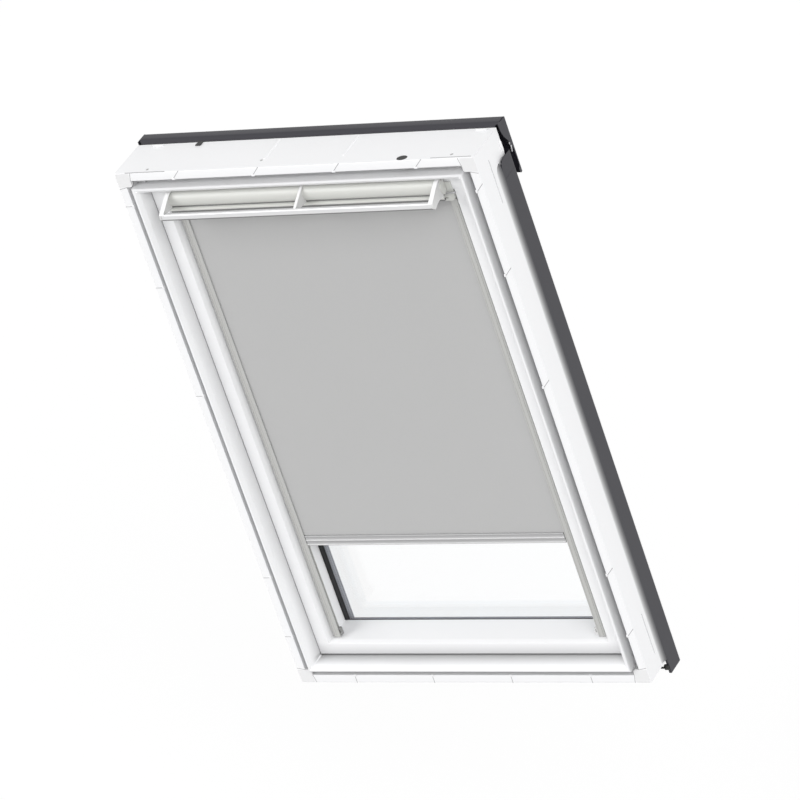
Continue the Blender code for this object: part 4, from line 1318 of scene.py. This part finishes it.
@dataclass
class Covers(Assembly):
    """Dark outer covers: folded side covers, the hood with its slim skirts, and the clips."""

    hood_half: float = 0.3926
    hood_front: float = 0.1068
    hood_back: float = 0.1375
    hood_top: float = 1.1832
    hood_low: float = 1.0620
    sheet: float = 0.0014
    nose: float = 0.0122
    corner_depth: float = 0.0080
    corner_width: float = 0.0070
    clip_x: float = 0.243
    clip_left: float = 0.2495
    clip_half: float = 0.0055

    def build(self) -> None:
        """Repaint the covers and make the hood, its clips and the strips of painted shade beside the side
        covers.
        """
        self.repaint("lacquer", "sill_cover", *both("side_cover", "cover_end"))
        self.hood()
        self.clips()
        for side in Side:
            self.skirt(side)
            self.seal(side)
            self.foot(side)

    def foot(self, side: Side) -> None:
        """Black plug in a side cover's lower end, and the thin black strip that runs in under the sill as a
        painted shadow line.

        Args:
            side: left or right.
        """
        name = side.label
        # Painted shadow: the black strip under the sill stands for the shadow line there.
        parts = {"cover_plug_": ((0.3845, 0.3940), (0.0685, 0.0745), (-0.0190, -0.0085)),
                 "cover_strip_": ((0.3705, 0.3880), (0.0640, 0.0695), (-0.0128, -0.0110))}
        for label, (across, deep, tall) in parts.items():
            low, high = zip(side.span(*across), deep, tall)
            piece = block(label + name, low, high, 0.0006)
            self.dress(piece, "black", "frame", "clip_black")

    def hood(self) -> None:
        """Folded sheet: a sloping nose, the top and the back leg, its front corners cut in plan."""
        half_sheet = self.sheet / 2
        top, back = self.hood_top - half_sheet, self.hood_back - half_sheet
        knee = self.hood_front + self.nose
        path = np.vstack([
            [(self.hood_front + half_sheet, SIZES.height - 0.0010)],
            through([(self.hood_front + 0.0025, SIZES.height + 0.0008), (knee - 0.0035, top - 0.0016),
                     (knee, top - 0.0003), (knee + 0.004, top)], 5),
            arc((back - 0.0030, top - 0.0030), 0.0030, 90, 0, 6), [(back, self.hood_low)]])
        outline = bent_sheet(path, self.sheet)
        share = np.clip((self.hood_front + self.corner_depth - outline[:, 0]) / self.corner_depth, 0, 1)
        rings = prism_x(outline, -1.0, 1.0)
        rings[..., 0] *= self.hood_half - self.sheet - share * self.corner_width
        self.dress(loft("hood_skin", rings), "lacquer", "frame", "cladding", "top_hood")

    def skirt(self, side: Side) -> None:
        """Slim skirt at one end of the hood, its front edge curving back to a small foot.

        Args:
            side: left or right.
        """
        top, back = self.hood_top - 0.0012, self.hood_back
        front = through([(0.1090, top), (0.1096, 1.168), (0.1150, 1.152), (0.1245, 1.138),
                         (0.1325, 1.120), (0.1345, 1.100), (0.1345, 1.080), (0.1300, 1.074)], 5)
        outline = np.vstack([front, [(0.1296, 1.067), (0.1320, 1.0640), (back, 1.0640), (back, top)]])
        ends = side.span(self.hood_half, self.hood_half - self.sheet)
        name = side.label
        piece = loft("hood_skirt_" + name, prism_x(outline, *ends))
        self.dress(piece, "lacquer", "frame", "cladding")
        inner = side.value * (self.hood_half - self.sheet - 0.0006)
        for index, (low, high) in enumerate(((1.1285, 1.1390), (1.1130, 1.1235))):
            lug = rod(f"skirt_rivet_{name}_{index + 1}", (inner, 0.1280, low), (inner, 0.1310, high),
                      0.0018)
            self.dress(lug, "steel", "frame", "hardware", smooth=60.0)

    def clips(self) -> None:
        """Black clips under the hood; only the left one laps over the head."""
        height, front, back, far = SIZES.height, 0.0905, 0.1060, 0.1300
        top = height + 0.0003
        stem = [(back, height - 0.034, 0.001), (far, height - 0.034, 0.001), (far, height - 0.014, 0.001)]
        shapes = {
            Side.LEFT: (-self.clip_left, [
                (front, top, 0.0002), (back, top, 0.0002), *stem, (0.1085, height - 0.0022, 0.001),
                (0.1066, top + 0.0008, 0.0004), (front, top + 0.0022, 0.0006)]),
            Side.RIGHT: (self.clip_x, [
                *stem, (0.1100, height - 0.0040, 0.001), (back, height - 0.0040, 0.001)])}
        for side, (middle, shape) in shapes.items():
            rings = prism_x(rounded(shape), middle - self.clip_half, middle + self.clip_half)
            piece = loft("hood_clip_body_" + side.label, rings)
            self.dress(piece, "black", "frame", "clip_black", "hood_clip_" + side.label)

    def seal(self, side: Side) -> None:
        """Soft strip that rises from the white face to the side cover's front edge; its fade to near black
        is painted shade.

        Its section is a hollow curve, and its upper end shrinks to nothing by a square root.

        Args:
            side: left or right.
        """
        outer, start, back = SIZES.half, 0.0560, 0.0724
        front = through([(outer + 0.0001, start), (outer + 0.0006, 0.0630), (outer + 0.0020, 0.0680),
                         (outer + 0.0048, 0.0720)], 5)
        outline = np.vstack([front, [(outer + 0.0048, back), (outer - 0.0003, back),
                                     (outer - 0.0003, start)]])
        high = np.linspace(0, 1, 9)
        z = np.concatenate([[0.004], 1.094 + 0.026 * high])
        size = np.concatenate([[1.0], np.sqrt(1.0001 - high**2)])
        points = np.stack([outer + (outline[:, 0] - outer) * size[:, None],
                           back + (outline[:, 1] - back) * size[:, None] + ROOM_FACE,
                           np.broadcast_to(z[:, None], (len(z), len(outline)))], axis=-1)
        points[..., 0] *= side.value
        piece = loft("cover_seal_" + side.label, points)
        self.dress(piece, "fillet", "frame", "seal_rubber", smooth=60.0)


@dataclass
class Sash(Assembly):
    """White sash with its glazing, gasket and spacer."""

    face: float = 0.022
    shoulder: tuple[float, float] = (0.0254, 0.0288)
    bevel_back: float = 0.0306
    inner: float = 0.037
    rebate: float = 0.0205
    rebate_front: float = 0.086
    back: float = 0.112
    gasket_inner: float = 0.0475
    gasket_sink: float = 0.0104
    spacer_inner: float = 0.0450
    spacer_sink: float = 0.0180
    cover_lip: float = 0.0350
    cover_top: float = 0.1210
    cover_sheet: float = 0.0014

    def section(self) -> Array:
        """Section (inset, depth) of a sash member: face, bevel, sloping bead and glass rebate."""
        return rounded([
            (0, self.face, 0.0013), (self.shoulder[0], self.face, 0.0016),
            (self.shoulder[1], self.bevel_back, 0.0022), (self.inner, self.rebate_front, 0.0008),
            (self.rebate, self.rebate_front, 0.0005), (self.rebate, self.back, 0.0005),
            (0, self.back, 0.0010)])

    def build(self) -> None:
        """Make the members and the glazing."""
        half, low, high = SIZES.sash_half, SIZES.sash_bottom, SIZES.sash_top
        section = self.section()
        for side in Side:
            name = side.label
            piece = loft("sash_skin_" + name, SIZES.stile(section, side, half, low, high))
            self.dress(piece, "sash", "sash", "white_sash", "sash_stile_" + name)
        for name, level, upward in (("bottom", low, 1), ("top", high, -1)):
            piece = loft("sash_skin_" + name, SIZES.rail(section, half, level, upward))
            self.dress(piece, "sash", "sash", "white_sash", f"sash_{name}_rail")
        lip = self.gasket_inner
        gasket = rounded([(0.0285, 0.0863, 0.0003), (lip - 0.0090, 0.0863, 0.0003),
                          (lip - 0.0080, 0.0848, 0.0006), (lip - 0.0060, 0.0848, 0.0008),
                          (lip, 0.0871, 0.0003), (lip, 0.0877, 0.0002), (0.0285, 0.0877, 0.0003)], 4)
        rings = SIZES.hoop(gasket, half, low, high, self.gasket_sink)
        piece = loft("glazing_gasket", rings, closed=True)
        self.dress(piece, "rubber", "sash", "seal_rubber", "glass_gasket")
        wall = self.spacer_inner
        spacer = rounded([(wall - 0.0054, 0.0923, 0.0004), (wall, 0.0923, 0.0006),
                          (wall, 0.1077, 0.0006), (wall - 0.0054, 0.1077, 0.0004)], 3)
        rings = SIZES.hoop(spacer, half, low, high, self.spacer_sink)
        piece = loft("spacer_hoop", rings, closed=True)
        self.dress(piece, "spacer", "sash", "spacer", "spacer_bar")
        edge = rounded([(-0.0012, 0.0240, 0.0003), (0.0002, 0.0240, 0.0002), (0.0002, 0.0270, 0.0002),
                        (-0.0012, 0.0270, 0.0003)], 2)
        piece = loft("sash_edge_seal", SIZES.hoop(edge, half, low, high), closed=True)
        self.dress(piece, "grey", "sash", "seal_rubber")
        self.repaint("pane", "glass_inner")
        self.repaint("pane_outer", "glass_outer")
        self.covers()

    def cover_section(self, start: float) -> Array:
        """Section (inset, depth) of a sash cover: outer leg, face and the lip on the glass.

        Args:
            start: inset of the outer leg.

        Returns:
            The outline.
        """
        foot, top, lip = self.back + 0.0004, self.cover_top, self.cover_lip
        path = np.array([(start, foot), (start, top - 0.003), (start + 0.001, top - 0.001),
                         (start + 0.003, top), (lip - 0.003, top), (lip - 0.001, top - 0.001),
                         (lip, top - 0.003), (lip, foot + 0.0004)])
        return bent_sheet(path, self.cover_sheet)

    def covers(self) -> None:
        """Outer covers of the sash; the lower one stays clear of the glass so that it drains."""
        half, low, high = SIZES.sash_half, SIZES.sash_bottom, SIZES.sash_top
        for side in Side:
            name = side.label
            piece = loft("sash_cap_" + name,
                         SIZES.stile(self.cover_section(0.0012), side, half, low, high))
            self.dress(piece, "lacquer", "sash", "cladding", "sash_cover_" + name)
        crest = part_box("sash_cover_top")[1].z
        section = self.cover_section(high - crest + self.cover_sheet / 2)
        piece = loft("sash_cap_top", SIZES.rail(section, half, high, -1))
        self.dress(piece, "lacquer", "sash", "cladding", "sash_cover_top")
        lowest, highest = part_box("sash_cover_bottom")
        top = self.cover_top + self.cover_sheet + 0.0002
        path = np.array([(top, lowest.z + 0.0007), (top, low + 0.0150), (top - 0.001, low + 0.0170),
                         (top - 0.003, low + 0.0180), (self.back + 0.0006, low + 0.0180)])
        reach = highest.x
        piece = loft("sash_cap_bottom", prism_x(bent_sheet(path, self.cover_sheet), -reach, reach))
        self.dress(piece, "lacquer", "sash", "cladding", "sash_cover_bottom")


@dataclass
class Hardware(Assembly):
    """Pivot hinges, lock and the eyes of the flap's rod."""

    def build(self) -> None:
        """Repaint the steel pieces."""
        self.repaint("steel", "lock_case", "striker_plate", "flap_rod",
                     *both("pivot_hinge", "hinge_bush", "flap_eye"))


@dataclass
class VentFlap(Assembly):
    """Half-round ventilation flap, its closed ends, and the control bar on three arms."""

    centre: tuple[float, float] = (0.0185, 1.1105)
    radius: float = 0.0160
    wall: float = 0.0016
    half: float = 0.2972
    bar_half: float = 0.2935
    bar: tuple[float, float] = (-0.0325, 1.0985)
    bar_size: tuple[float, float] = (0.009, 0.013)
    middle_arm: float = 0.0055
    strip: float = 0.0022

    def skin(self) -> Array:
        """Section (depth, height) of the flap: an arc, a short drop and a bead along its lower edge."""
        depth, height = self.centre
        bow = arc(self.centre, self.radius, 88, 236, 48)
        bead = height - self.radius - 0.0042
        front = depth - self.radius + 0.0012
        tail = np.array([(bow[-1][0] + 0.0004, bead + 0.0040), (bow[-1][0] - 0.0022, bead + 0.0030),
                         (front + 0.0010, bead + 0.0026), (front, bead + 0.0018), (front, bead - 0.0002),
                         (front + 0.0010, bead - 0.0010), (front + 0.0075, bead - 0.0014)])
        return bent_sheet(np.vstack([bow, tail]), self.wall)

    def build(self) -> None:
        """Make the flap, its ends, the bar and its arms."""
        piece = loft("flap_skin", prism_x(self.skin(), -self.half, self.half))
        self.dress(piece, "flap", "vent_flap", "flap_white", "vent_flap")
        for side in Side:
            self.end(side)
            self.cheek(side)
        self.edge()
        self.control_bar()
        self.arms()

    def edge(self) -> None:
        """Grey rod along the flap's crease and a grey strip under its edge, both painted shade."""
        depth, height = self.centre
        bead = height - self.radius - 0.0056
        crease = rod("flap_crease", (-self.half, depth - 0.0098, height - 0.0148),
                     (self.half, depth - 0.0098, height - 0.0148), 0.0012)
        edge_shade = block("flap_brush", (-self.half, depth - 0.0135, bead - 0.0042),
                      (self.half, depth - 0.0080, bead + 0.0004), 0.0006)
        for piece in (crease, edge_shade):
            self.dress(piece, "grey", "vent_flap", "flap_white")

    def end(self, side: Side) -> None:
        """Closed end of the flap: its round room side and a straight back, as a thin plate.

        Args:
            side: left or right.
        """
        depth, height = self.centre
        bow = arc(self.centre, self.radius + self.wall / 2, 90, 238, 30)
        outline = np.vstack([bow, [(depth - 0.0020, height - self.radius), (depth, height - self.radius)]])
        ends = side.span(self.half + 0.0001, self.half + 0.0016)
        name = side.label
        piece = loft("flap_plate_" + name, prism_x(outline, *ends))
        self.dress(piece, "flap", "vent_flap", "flap_white", "flap_end_" + name)

    def cheek(self, side: Side) -> None:
        """Cap on the sash beside the flap's end: a plate with one rounded corner and a screw slot.

        Args:
            side: left or right.
        """
        near, far = 0.2880, 0.3105
        low, high = 1.0765, 1.1170
        outline = rounded([(near, low, 0.0010), (far, low, 0.0085), (far, high, 0.0015),
                           (near, high, 0.0010)], 8)
        front, back = 0.0196, 0.0245
        outline[:, 0] *= side.value
        piece = loft("blind_cap_" + side.label, prism_y(outline, front, back))
        left, right = side.span(near + 0.0010, near + 0.0085)
        cut(piece, [block("slot", (left, front - 0.002, low + 0.0050),
                          (right, front + 0.0035, low + 0.0078), 0.0006)])
        self.dress(piece, "flap", "sash", "casing")

    def control_bar(self) -> None:
        """Drawn bar: a rounded rectangle, with a grey strip of painted shade along its underside."""
        deep, tall = self.bar_size[0] / 2, self.bar_size[1] / 2
        depth, height = self.bar
        outline = rounded([(depth - deep, height - tall, 0.0032), (depth + deep, height - tall, 0.0030),
                           (depth + deep, height + tall, 0.0030), (depth - deep, height + tall, 0.0032)], 8)
        piece = loft("bar_tube", prism_x(outline, -self.bar_half, self.bar_half))
        self.dress(piece, "silver", "vent_flap", "silver_bar", "control_bar")
        # Painted shade: a grey strip along the bar's underside stands for the shade there.
        lip = rounded([(depth - deep + 0.0004, height - tall - 0.0004, 0.0026),
                       (depth + deep - 0.0004, height - tall - 0.0004, 0.0026),
                       (depth + deep + 0.0002, height - tall + 0.0030, 0.0004),
                       (depth - deep - 0.0002, height - tall + 0.0030, 0.0004)], 6)
        piece = loft("bar_lip", prism_x(lip, -self.bar_half, self.bar_half))
        self.dress(piece, "grey", "vent_flap", "silver_bar", smooth=50.0)

    def arm(self, nose: bool) -> tuple[Array, Array]:
        """Side view (depth, height) of an arm: upper edge from the flap to the tip, and lower edge.

        Args:
            nose: True for an end arm, which wraps the bar's end.

        Returns:
            The upper and the lower edge, both from the flap outwards, as smooth paths.
        """
        middle, bar = self.bar[1], self.bar[0]
        upper = [(0.0120, 1.1268), (0.0025, 1.1240), (-0.0140, 1.1160), (-0.0262, 1.1100)]
        lower = [(0.0105, 1.0932), (0.0, 1.0944), (-0.0110, 1.0958), (-0.0240, 1.0984)]
        if nose:
            upper = [(0.0120, 1.1276), (0.0025, 1.1262), (-0.0140, 1.1180), (-0.0262, 1.1110),
                     (-0.0345, 1.1066), (bar - 0.0058, middle + 0.0030), (bar - 0.0062, middle - 0.0030)]
            lower = lower[:3] + [(-0.0240, 1.0930), (bar + 0.0010, middle - 0.0088)]
        else:
            upper += [(bar - 0.0020, middle + 0.0076)]
            lower += [(bar + 0.0050, middle + 0.0040)]
        return through(upper, 5), through(lower, 5)

    def arms(self) -> None:
        """Two end arms, whose side plates cover the bar's ends, and the thinner middle one.

        Each has a strip along its upper edge over a web; the end arms' strips stop on the bar. The web's
        grey is painted shade of the arm's sides.
        """
        inner, outer = self.bar_half + 0.0003, self.half - 0.0007
        spans = {"left": (-outer, -inner, -outer, 0.0092 - outer, True),
                 "right": (inner, outer, outer - 0.0092, outer, True),
                 "middle": (-0.0014, 0.0014, -self.middle_arm / 2, self.middle_arm / 2, False)}
        for name, (low, high, left, right, nose) in spans.items():
            upper, lower = self.arm(nose)
            web = np.vstack([upper, lower[::-1]])
            piece = loft("arm_web_" + name, prism_x(web, low, high))
            self.dress(piece, "web", "vent_flap", "bracket_white", "bracket_" + name, smooth=40.0)
            crest = upper[:24] if nose else upper
            strip = bent_sheet(crest, self.strip)
            piece = loft("arm_strip_" + name, prism_x(strip, left, right))
            bevel = piece.modifiers.new("edges", "BEVEL")
            bevel.width = 0.0006
            bevel.segments = 2
            bevel.limit_method = "ANGLE"
            bevel.angle_limit = np.radians(50)
            self.dress(piece, "plastic", "vent_flap", "bracket_white", smooth=40.0)


@dataclass
class Blind(Assembly):
    """Roller blind: casing, roller, channels, cloth and bottom bar."""

    inner: float = 0.2885
    outer: float = 0.3032
    foot: float = 0.3080
    channel_low: float = 0.0840
    front: float = 0.0348
    deep: float = 0.0075
    wall: float = 0.0014
    ridge: float = 0.0007
    cloth_depth: float = 0.0377
    cloth: float = 0.0006
    cloth_half: float = 0.2965
    roll_height: float = 1.07175
    bar_low: float = 0.303
    bar_tall: float = 0.022
    bar_half: float = 0.2868
    bar_front: float = 0.0334
    bar_back: float = 0.0424
    travel_up: float = 0.725
    travel_down: float = 0.197

    def build(self) -> None:
        """Make every piece of the blind."""
        self.casing()
        self.repaint("silver", "roller_tube")
        self.repaint("moulding", *both("roller_plug", "bar_guide"))
        for side in Side:
            self.channel(side)
            self.hook(side)
        self.bottom_bar()
        self.cloth_sheet()

    def casing(self) -> None:
        """Headbox of folded sheet, open below, whose front ends above the cloth, and its ends."""
        low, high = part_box("blind_headbox")
        front, back = low.y - ROOM_FACE + 0.0008, high.y - ROOM_FACE - 0.0008
        top = high.z - 0.0008
        path = np.vstack([[(front + 0.0020, 1.0775), (front, 1.0780)],
                          arc((front + 0.003, top - 0.003), 0.003, 180, 90, 5),
                          arc((back - 0.003, top - 0.003), 0.003, 90, 0, 5), [(back, low.z + 0.001)]])
        piece = loft("headbox_casing", prism_x(bent_sheet(path, 0.0013), low.x, high.x))
        self.dress(piece, "casing", "sash", "casing", "blind_headbox")
        for side in Side:
            name = side.label
            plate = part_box("headbox_end_" + name)
            outline = rounded([(0.0445, 1.0585, 0.003), (back, 1.0585, 0.002), (back, top, 0.003),
                               (front + 0.002, top, 0.003), (front + 0.002, 1.0790, 0.001)], 5)
            piece = loft("headbox_plate_" + name, prism_x(outline, plate[0].x, plate[1].x))
            self.dress(piece, "casing", "sash", "casing", "headbox_end_" + name)
            left, right = side.span(self.inner, self.outer)
            piece = block("channel_head_" + name, (left, self.front - 0.0003, 1.0550),
                          (right, self.front + 0.0014, 1.0770), 0.0004)
            self.dress(piece, "channel", "sash", "channel_grey")

    def channel(self, side: Side) -> None:
        """Side channel: an open C with two ridges on its room face and a rear leg on the sash.

        Args:
            side: left or right.
        """
        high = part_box("side_channel_" + side.label)[1].z
        front, back = self.front, self.front + self.deep
        middle = (self.inner + self.outer) / 2
        inside, flat = front + self.wall + self.ridge, front + self.ridge
        ridge = front - 0.0003
        outline = rounded([
            (self.inner, ridge, 0.0005), (self.inner + 0.0020, ridge, 0.0003),
            (self.inner + 0.0026, flat, 0.0002), (middle + 0.0004, flat, 0.0002),
            (middle + 0.0010, ridge, 0.0002), (middle + 0.0030, ridge, 0.0002),
            (middle + 0.0036, flat, 0.0002), (self.outer - 0.0022, flat, 0.0002),
            (self.outer - 0.0018, ridge, 0.0003), (self.outer, ridge, 0.0005),
            (self.outer, back - 0.0012, 0.0003),
            (self.foot, back - 0.0012, 0.0003), (self.foot - 0.0002, back, 0.0003),
            (self.inner, back, 0.0004), (self.inner, back - self.wall, 0.0004),
            (self.outer - self.wall, back - self.wall, 0.0004), (self.outer - self.wall, inside, 0.0004),
            (self.inner, inside, 0.0004)], 3)
        outline[:, 0] *= side.value
        name = side.label
        piece = loft("channel_" + name, prism_z(outline, self.channel_low, high))
        self.dress(piece, "channel", "sash", "channel_grey", "side_channel_" + name)

    def hook(self, side: Side) -> None:
        """Catch at the channel's foot: a rounded plate with a window, darker on the left as painted shade.

        Args:
            side: left or right.
        """
        low, high = self.channel_low + 0.0045, self.channel_low + 0.0212
        near, far = self.inner - 0.0058, self.inner - 0.0002
        outline = rounded([(near, low, 0.0024), (far, low, 0.0010), (far, high, 0.0010),
                           (near, high, 0.0026)], 5)
        outline[:, 0] *= side.value
        rings = prism_y(outline, self.front, self.front + self.deep - 0.0002)
        name = side.label
        piece = loft("channel_catch_" + name, rings)
        left, right = side.span(near + 0.0016, far - 0.0014)
        cut(piece, [block("window", (left, self.front - 0.002, low + 0.0060),
                          (right, self.front + 0.0035, high - 0.0030), 0.0006)])
        # Painted shade: the left catch is a darker copy of the right one.
        shade = "hook" if side is Side.LEFT else "web"
        self.dress(piece, shade, "sash", "blind_plastic", "channel_foot_" + name)

    def bottom_bar(self) -> None:
        """Extruded bar at the cloth's lower edge, with two hollow flutes along its room face.

        Each flute is an arc whose radius is (half chord squared + hollow squared) over twice the
        hollow, between plain fillets at the bar's edges and a narrow land in its middle.
        """
        low, high = self.bar_low, self.bar_low + self.bar_tall
        front, back = self.bar_front, self.bar_back
        chord, hollow = 0.0088, 0.0019
        radius = (chord**2 / 4 + hollow**2) / (2 * hollow)
        swing = float(np.degrees(np.arcsin(chord / 2 / radius)))
        flutes = [arc((front - radius + hollow, low + place), radius, swing, -swing, 10)
                  for place in (0.0160, 0.0058)]
        edge = rounded([(front, low, 0.0010), (back, low, 0.0020), (back, high, 0.0020),
                        (front, high, 0.0012)], 5)
        outline = np.vstack([flutes[0], flutes[1], edge])
        piece = loft("hem_bar", prism_x(outline, -self.bar_half, self.bar_half))
        self.dress(piece, "hem", "blind_bar", "silver_bar", "blind_bottom_bar")

    def panel(self, name: str, low: float, high: float, thick: float, rows: int) -> bpy.types.Object:
        """Thin upright sheet of cloth: a flat closed ring carried up Z.

        Its depth varies by a tenth of a millimetre as the sine of X times the sine of Z, and this
        fades out over 0.1 m at both ends.

        Args:
            name: the piece's name.
            low: its lower edge.
            high: its upper edge.
            thick: its thickness.
            rows: number of rings.

        Returns:
            The piece.
        """
        across = np.linspace(-self.cloth_half, self.cloth_half, 61)
        near = np.stack([across, np.full(across.size, self.cloth_depth - thick / 2)], axis=1)
        far = np.stack([across[::-1], np.full(across.size, self.cloth_depth + thick / 2)], axis=1)
        rings = prism_z(np.vstack([near, far]), low, high, rows)
        x, z = rings[..., 0], rings[..., 2]
        fade = np.clip((z - self.bar_low) / 0.1, 0, 1) * np.clip((1.06 - z) / 0.1, 0, 1)
        rings[..., 1] += 0.0001 * fade * np.sin(x * 21.0) * np.sin(z * 9.0)
        return loft(name, rings)

    def cloth_sheet(self) -> None:
        """The cloth from the roller to the bar, and its spare length that follows the bar down."""
        low, high = self.bar_low + self.bar_tall + 0.0003, self.roll_height
        drop = self.panel("cloth_drop", low, high, self.cloth, 76)
        self.dress(drop, "cloth", "sash", "cloth", "blind_cloth")
        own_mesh(drop)
        share = self.travel_down / self.travel_up
        spare = (self.travel_down + share * self.travel_up + 0.006) / (1 - share)
        tail = self.panel("cloth_tail", low, low + spare, self.cloth * 0.4, 60)
        self.dress(tail, "cloth", "blind_bar", "cloth")
        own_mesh(tail)


@dataclass
class Studio:
    """Camera, soft light and pale floor."""

    place: tuple[float, float, float] = (6.018046, -8.607007, 6.158355)
    right: tuple[float, float, float] = (0.862639, 0.411735, -0.293818)
    up: tuple[float, float, float] = (0.021218, 0.550907, 0.834297)
    ahead: tuple[float, float, float] = (-0.505376, 0.725931, -0.466497)
    focal_pixels: float = 6248.25
    picture: float = 800.0
    sensor: float = 36.0
    floor_level: float = -0.60
    sky: float = 0.60
    suns: tuple[tuple[float, float, float, float], ...] = (
        (-0.60, -0.60, 0.53, 1.20), (0.60, -0.60, 0.53, 1.20), (0.95, 0.20, 0.20, 0.60))
    softness: float = 0.60
    floor_glow: float = 0.85
    floor_grey: float = 0.7

    def camera(self) -> None:
        """Camera at the photograph's place: its axes are the columns of its matrix."""
        data = bpy.data.cameras.new("camera")
        data.sensor_width = self.sensor
        data.lens = self.focal_pixels / self.picture * self.sensor
        data.clip_end = 100.0
        camera = bpy.data.objects.new("camera", data)
        turn = Matrix((self.right, self.up, -Vector(self.ahead))).transposed().to_4x4()
        camera.matrix_world = Matrix.Translation(self.place) @ turn
        bpy.context.scene.collection.objects.link(camera)
        bpy.context.scene.camera = camera

    def lights(self) -> None:
        """White surroundings, brighter to the camera than to the object, and three soft suns."""
        world = bpy.data.worlds.new("studio")
        bpy.context.scene.world = world
        world.use_nodes = True
        tree = world.node_tree
        tree.nodes.clear()
        power = tree.nodes.new("ShaderNodeMapRange")
        power.inputs["To Min"].default_value = self.sky
        power.inputs["To Max"].default_value = 1.0
        tree.links.new(self.seen(tree), power.inputs["Value"])
        background = tree.nodes.new("ShaderNodeBackground")
        background.inputs["Color"].default_value = (1.0, 1.0, 1.0, 1.0)
        tree.links.new(power.outputs[0], background.inputs["Strength"])
        output = tree.nodes.new("ShaderNodeOutputWorld")
        tree.links.new(background.outputs[0], output.inputs[0])
        for index, (x, y, z, energy) in enumerate(self.suns):
            lamp = bpy.data.lights.new(f"sun_{index + 1}", "SUN")
            lamp.energy = energy
            lamp.angle = self.softness
            sun = bpy.data.objects.new(lamp.name, lamp)
            sun.rotation_euler = Vector((x, y, z)).to_track_quat("Z", "Y").to_euler()
            bpy.context.scene.collection.objects.link(sun)

    def seen(self, tree: bpy.types.NodeTree) -> bpy.types.NodeSocket:
        """1 for camera, glossy and transmission rays and 0 for the rest: the sum, held at 1.

        Args:
            tree: the node tree that it is added to.

        Returns:
            The socket.
        """
        rays = tree.nodes.new("ShaderNodeLightPath")
        total = rays.outputs["Is Camera Ray"]
        for name in ("Is Glossy Ray", "Is Transmission Ray"):
            add = tree.nodes.new("ShaderNodeMath")
            add.operation = "ADD"
            add.use_clamp = True
            tree.links.new(total, add.inputs[0])
            tree.links.new(rays.outputs[name], add.inputs[1])
            total = add.outputs[0]
        return total

    def floor(self) -> None:
        """Pale floor: white and mostly lit from itself to the camera, grey to the object."""
        reach = 40.0
        corners = np.array([(-reach, -reach), (reach, -reach), (reach, reach), (-reach, reach)])
        points = np.column_stack([corners, np.full(4, self.floor_level)])
        mesh = bpy.data.meshes.new("floor")
        mesh.from_pydata(points.tolist(), [], [(0, 1, 2, 3)])
        floor = bpy.data.objects.new("floor", mesh)
        bpy.context.scene.collection.objects.link(floor)
        graph = Graph("pale_floor")
        white = (1.0, 1.0, 1.0, 1.0)
        bright = graph.add("ShaderNodeBsdfDiffuse", inputs={"Color": white})
        dim = graph.add("ShaderNodeBsdfDiffuse", inputs={"Color": (*[self.floor_grey] * 3, 1.0)})
        glow = graph.add("ShaderNodeEmission", inputs={"Color": white, "Strength": 1.0})
        lit = graph.add("ShaderNodeMixShader", inputs={0: self.floor_glow, 1: bright.outputs[0],
                                                       2: glow.outputs[0]})
        both = graph.add("ShaderNodeMixShader", inputs={0: self.seen(graph.tree), 1: dim.outputs[0],
                                                        2: lit.outputs[0]})
        output = graph.add("ShaderNodeOutputMaterial")
        graph.tree.links.new(both.outputs[0], output.inputs[0])
        mesh.materials.append(graph.material)

    def build(self) -> None:
        """Set up the studio."""
        bpy.context.scene.view_settings.view_transform = "Standard"
        self.camera()
        self.lights()
        self.floor()


def corners(bounds: Any) -> list[list[float]]:
    """Box corners as plain lists.

    Args:
        bounds: lowest and highest corner.

    Returns:
        The two corners.
    """
    return [[float(number) for number in corner] for corner in bounds]


def main() -> None:
    """Build the studio and each sub-assembly."""
    logging.basicConfig(level=logging.INFO, format="%(message)s")
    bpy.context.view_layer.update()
    Studio().build()
    finishes = Finishes()
    for assembly in (OuterFrame, Covers, Sash, Hardware, VentFlap, Blind):
        assembly(finishes).build()
        log.info("built %s", assembly.__name__)


if __name__ == "__main__":
    main()
